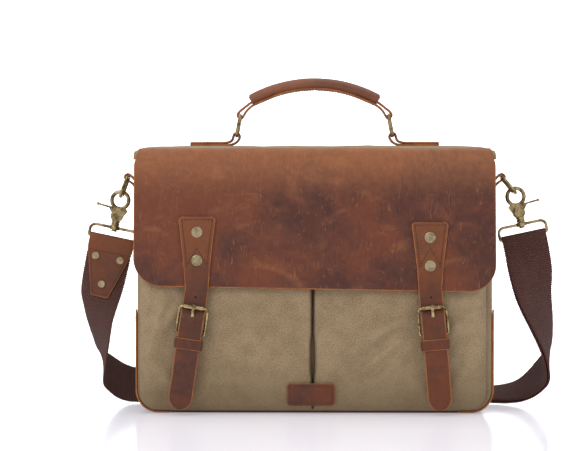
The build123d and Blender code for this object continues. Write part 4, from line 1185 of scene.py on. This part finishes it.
def make_handle_strap():
    """The closed strap through the grip, round the rings' upper bars."""
    top = [(60.3, 360.2), (72.5, 354.4), (81.5, 347.8), (87.4, 342.8), (89.2, 339.2), (87.4, 335.9),
           (84.2, 335.7), (82.1, 338.6), (78.3, 344.7), (71.0, 350.8), (59.5, 355.8)]
    low_row = [(40, 363.6), (20, 368.2), (0, 369.8), (-20, 368.2), (-40, 363.6)]
    high_row = [(-40, 367.6), (-20, 371.6), (0, 373.0), (20, 371.6), (40, 367.6)]
    points = top + low_row + [(-x, z) for x, z in top[::-1]] + high_row + top[:1]
    track = Track(points, 5)
    made = band("handle_strap", track, in_profile(), lambda along: 7.0, 2.3, closed=True)
    ride(made, "handle", "strap_leather", "handle_strap")


def make_loop_tab(kind, side, word, body, line, thickness, seam, end):
    """A tab folded round a ring's bar, sewn along seam and across its end, both in (x, z)."""
    name = kind + "_" + word
    made = band(name, Track(line), in_profile(side), lambda along: 9.5, thickness)
    ride(made, body, "strap_leather", name)
    rows = [[(side * x, across, z) for x, z in seam] for across in (-6.6, 6.6)]
    rows.append([(side * end[0], y / 2, end[1]) for y in range(-13, 14, 2)])
    ride(stitches(kind + "_seam_" + word, rows, THREAD), body, "strap_leather")


def make_handle_tabs():
    """The loops on top of the bag that hold the handle's rings."""
    line = [(143.6, 307.0), (120, 307.1), (104, 307.4), (96.6, 309.2), (94.2, 313), (93.4, 316.6),
            (90, 319.0), (86.6, 316.4), (86.9, 312.4), (90.5, 307.8), (97, 305.2), (110, 304.8),
            (143.6, 304.8)]
    face = 308.15
    seam = [(x, face) for x in range(105, 141, 5)]
    for side, word in SIDES:
        make_loop_tab("handle_tab", side, word, "flap_top", line, 2.3, seam, (140.5, face))


def make_side_tabs():
    """The loops on the bag's sides that hold the side rings."""
    line = [(201.9, 230.5), (201.9, 250), (203.4, 258), (208.4, 264.6), (212.6, 269.4), (216, 271.5),
            (219.4, 268.6), (217.8, 264.6), (213.6, 262.4), (208.2, 257.2), (204.6, 250), (203.7, 243),
            (203.7, 231.2)]
    face = 204.65
    seam = [(face, z) for z in range(234, 250, 3)]
    for side, word in SIDES:
        make_loop_tab("side_tab", side, word, "root", line, 2.1, seam, (face, 234))


# ---- shoulder strap
# Outer and inner edge of the webbing as it lies, from the left end round to the right one.
ROUTE_LEFT = [
    ((-266.6, 18, 105), (-232.9, -18, 100.5)),
    ((-259.5, 26, 80), (-236.5, -18, 78.5)),
    ((-256, 35, 67), (-240, -12, 59.5)),
    ((-252, 42, 62), (-243, -4, 44)),
    ((-246, 50, 59), (-245.6, 8, 27.5)),
    ((-238, 62, 52), (-240.7, 24, 17)),
    ((-228, 74, 44), (-231.7, 40, 7.5)),
    ((-214, 86, 38), (-216.8, 54, 1.6)),
    ((-178, 97, 30), (-180, 57, 1.4)),
    ((-128, 104, 22), (-130, 59.5, 1.3)),
    ((-69, 108, 16), (-70, 60.5, 1.3)),
    ((0, 110, 13.5), (0, 61.5, 1.3)),
]
ROUTE_RIGHT = [
    ((143, 108, 12), (139, 60, 1.3)),
    ((208, 101, 12), (202, 54, 1.3)),
    ((234, 92, 16), (225.5, 46, 1.6)),
    ((248.5, 82, 23.6), (243.5, 38, 4.2)),
    ((259.5, 70, 36), (257.5, 28, 11)),
    ((266, 58, 46.5), (266.7, 16, 20.5)),
    ((271.5, 46, 56), (271.5, 2, 31)),
    ((276, 38, 64), (270, -9, 45)),
    ((278.2, 29, 78), (264, -17, 66)),
    ((277.5, 19, 103), (251, -22, 92.5)),
    ((274.5, 9, 134), (236, -20, 121.5)),
    ((274.5, 3, 163), (226.5, -8, 151)),
]
OVER_SLIDER = [(-40, 0), (-24, 3.8), (-16, 7.8), (-13.2, 8.1), (-10.2, 7.4), (-6, 1.6), (-4, 0),
               (4, 0), (6, 1.6), (10.2, 7.4), (13.2, 8.1), (16, 7.8), (24, 3.8), (40, 0)]
ROUND_BAR = [(40, 4), (24, 7.9), (16, 11.7), (13.2, 12.2), (10, 11.4), (4, 8.6), (2, 8.1),
             (0, 8), (-2, 7.9), (-3.6, 7), (-4.1, 5.3), (-3.6, 3.7), (-2, 2.8), (0, 2.7)]
WEB_WIDTH = 50.0
HANG_LEAN = math.radians(12)
STRAP_BARS = {-1: (-234.8, 0, 195.6), 1: (242.0, 0, 199.7)}


def hang(side, drop, width, off):
    """Both edges of a band hanging from a strap loop's lower bar; the left one twists."""
    down = Vector((side * math.sin(HANG_LEAN), 0, -math.cos(HANG_LEAN)))
    inward = Vector((-side * math.cos(HANG_LEAN), 0, -math.sin(HANG_LEAN)))
    twist = math.radians(0.0073 * max(0.0, drop - 14) ** 2) if side < 0 else 0.0
    front = Vector((0, -1, 0))
    along = inward * math.cos(twist) + front * math.sin(twist)
    forward = front * math.cos(twist) - inward * math.sin(twist)
    middle = Vector(STRAP_BARS[side]) + down * drop + forward * off
    return middle - along * (width / 2), middle + along * (width / 2)


def round_bar(side, width, radius):
    """Both edges of a band where it goes over a strap loop's lower bar."""
    turns = [math.pi * k / 6 for k in range(7)]
    return [hang(side, -radius * math.sin(t), width, radius * math.cos(t)) for t in turns]


def smooth_pairs(pairs, steps):
    """Edge pairs of an even band through the given ones."""
    outer = smooth([Vector(pair[0]) for pair in pairs], steps)
    inner = smooth([Vector(pair[1]) for pair in pairs], steps)
    return list(zip(outer, inner))


def at_slider(profile):
    """Edge pairs near the slider, from (distance along, height) on the main layer."""
    first = [Vector(p) for p in ROUTE_LEFT[-1]]
    last = [Vector(p) for p in ROUTE_RIGHT[0]]
    share = 75 / ((last[0].x + last[1].x) / 2)
    outer = first[0].lerp(last[0], share)
    inner = first[1].lerp(last[1], share)
    along = (last[0] + last[1] - first[0] - first[1]).normalized()
    sideways = outer - inner
    sideways = (sideways - along * sideways.dot(along)).normalized()
    up = along.cross(sideways)
    middle = (outer + inner) * 0.5
    half = sideways * (WEB_WIDTH / 2)
    return [(middle + half + along * s + up * h, middle - half + along * s + up * h) for s, h in profile]


def strap_pairs():
    """The whole webbing: down from the left loop, round to the right one, and back to the slider."""
    wire, play, half_thick = 1.7, 0.3, 1.2
    radius = wire + play + half_thick
    drops = [68 * k / 16 for k in range(3, 17)]
    left = [hang(-1, drop, WEB_WIDTH, 0) for drop in drops]
    left = left[:-1] + smooth_pairs(left[-1:] + ROUTE_LEFT, 4)
    ends = [hang(1, 14, WEB_WIDTH, radius * 0.7), hang(1, 5, WEB_WIDTH, radius)]
    right = smooth_pairs(ROUTE_RIGHT + ends, 4)
    back = []
    for k in range(len(right) - 1, -1, -1):
        outer, inner = right[k]
        before = right[max(k - 1, 0)]
        after = right[min(k + 1, len(right) - 1)]
        along = after[0] + after[1] - before[0] - before[1]
        behind = along.cross(outer - inner).normalized()
        near_bar = clamp(1 - (len(right) - 1 - k) / 5)
        gap = 3.6 + (2 * radius - 3.6) * near_bar
        back.append((outer + behind * gap, inner + behind * gap))
    bar = round_bar(1, WEB_WIDTH, radius)
    return left + at_slider(OVER_SLIDER) + right + bar + back + smooth_pairs(at_slider(ROUND_BAR), 2)


def ribbon(name, pairs, columns, thickness, material, rim=None):
    """A strip between two edges; its spots are measured across and along it."""
    lengths = [0.0]
    for (a, b), (c, d) in zip(pairs, pairs[1:]):
        lengths.append(lengths[-1] + ((c + d) - (a + b)).length / 2)

    def place(u, v):
        k = round(v * (len(pairs) - 1))
        outer, inner = pairs[k]
        across = (u - 0.5) * (outer - inner).length
        return outer.lerp(inner, u), (across, lengths[k])

    made = skin(name, columns, len(pairs) - 1, place, material)
    thicken(made, thickness, 0.0, rim, 0.5)
    return made


def make_webbing():
    """The webbing, and the round selvedge along both its edges."""
    pairs = strap_pairs()
    clean = [pairs[0]]
    for pair in pairs[1:]:
        if ((pair[0] + pair[1]) - (clean[-1][0] + clean[-1][1])).length > 1.2:
            clean.append(pair)
    made = ribbon("webbing", clean, 12, 2.0, LOOKS["webbing"])
    ride(made, "root", "webbing", "webbing")
    selvedges = []
    for edge in (0, 1):
        selvedges.append([pair[edge].lerp(pair[1 - edge], 0.006) for pair in clean])
    made = stitches("selvedge", selvedges, LOOKS["webbing"], 2.6, 2.7, 2.7)
    ride(made, "root", "webbing")


def end_half(drop):
    """Half width of the leather end, tapering below the loop."""
    return 26 - (26 - 11) * clamp((drop - 12) / 56)


def make_strap_end():
    """The leather end: front leaf, over the loop's bar, and the rear leaf."""
    seat, radius = 2.6, 3.1
    drops = [68 * k / 32 for k in range(32, 3, -1)]

    def leaf(drop, face):
        off = radius + (seat - radius) * ease((drop - 5) / 6)
        return hang(-1, drop, 2 * end_half(drop), face * off)

    def sewn(drop, across, face):
        outer, inner = hang(-1, drop, 2.0, face * (seat + 1.05))
        return (outer + inner) * 0.5 + (inner - outer) * 0.5 * across

    front = [leaf(drop, 1) for drop in drops]
    rear = [leaf(drop, -1) for drop in drops[::-1]]
    pairs = front + round_bar(-1, 52, radius) + rear
    made = ribbon("strap_end", pairs, 10, LEATHER_THICK, TAN, EDGE_AND_HIGHLIGHT)
    ride(made, "root", "strap_leather", "strap_end")
    rows = []
    for face in (1, -1):
        for side in (-1, 1):
            rows.append([sewn(drop, side * (end_half(drop) - 2.6), face) for drop in range(18, 66, 3)])
        rows.append([sewn(65, across, face) for across in range(-9, 10, 3)])
        rows.append([sewn(15.5, across, face) for across in range(-23, 24, 2)])
    ride(stitches("strap_end_seam", rows, THREAD), "root", "strap_leather")


# ---- metal and other hard parts
def coat_hard_parts():
    """Gives every part kept from the frame its material."""
    for made in frame["nodes"].values():
        for slot in made.material_slots:
            slot.material = LOOKS[slot.material.name.split(".")[0]]


# ---- studio
def make_floor():
    """A glossy pale floor and the bright wall far behind it."""
    shade = Shade("studio_floor", Specular_IOR_Level=0.28, Emission_Strength=0.32)
    shine = shade.noise(shade.place(), 3, 2)
    material = shade.finish(
        Base_Color=shade.mix(shine, (0.86, 0.85, 0.92), (0.88, 0.87, 0.93)),
        Emission_Color=shade.mix(shine, (0.93, 0.92, 1.0), (0.95, 0.94, 1.0)),
        Roughness=shine.ramp(0.3, 0.7, 0.13, 0.17),
    )
    corners = [(-4500, -4500, -0.6), (4500, -4500, -0.6), (4500, 4500, -0.6), (-4500, 4500, -0.6)]
    floor = piece("floor", corners, [(0, 1, 2, 3)], None, material, (0, 0, -100))
    glow = Shade("studio_wall", Emission_Strength=1.15)
    even = glow.noise(glow.place(), 1, 1)
    material = glow.finish(
        Base_Color=glow.mix(even, (0.9, 0.9, 0.9), (0.95, 0.95, 0.95)),
        Emission_Color=glow.mix(even, (1, 1, 1), (0.98, 0.98, 1)),
    )
    corners = [(-1600, 4500, -10), (1600, 4500, -10), (1600, 4500, 2200), (-1600, 4500, 2200)]
    wall = piece("wall", corners, [(0, 1, 2, 3)], None, material, (0, 3000, 0))


def lamp(name, place, aim, size, power):
    data = bpy.data.lights.new(name, "AREA")
    data.shape = "RECTANGLE"
    data.size, data.size_y = size
    data.energy = power
    made = bpy.data.objects.new(name, data)
    made.location = place
    made.rotation_euler = facing(place, aim)
    bpy.context.scene.collection.objects.link(made)
    return made


def light_studio():
    """Even daylight from all round, and three soft lamps."""
    world = bpy.data.worlds.new("studio")
    world.use_nodes = True
    background = world.node_tree.nodes["Background"]
    background.inputs["Color"].default_value = (1, 1, 1, 1)
    background.inputs["Strength"].default_value = 0.72
    bpy.context.scene.world = world
    lamps = [
        lamp("key", (-0.9, -1.5, 1.5), (0, 0, 0.2), (1.0, 0.7), 10),
        lamp("fill", (1.4, -1.2, 0.9), (0, 0, 0.15), (0.9, 0.9), 1.8),
        lamp("top", (0, 0.1, 1.7), (0, 0, 0.1), (1.6, 1.0), 7),
    ]


make_panel("front_panel", -1, 0.0)
make_panel("back_panel", 1, 3.5)
make_gusset()
make_lining()
make_guards()
make_bottom()
make_pocket("left", -198.0, -2.6)
make_pocket("right", 194.0, -1.4)
make_slit_patch()
make_flap_leather()
make_flap_canvas()
make_closures()
make_grip()
make_handle_strap()
make_handle_tabs()
make_side_tabs()
make_webbing()
make_strap_end()
coat_hard_parts()
make_floor()
light_studio()
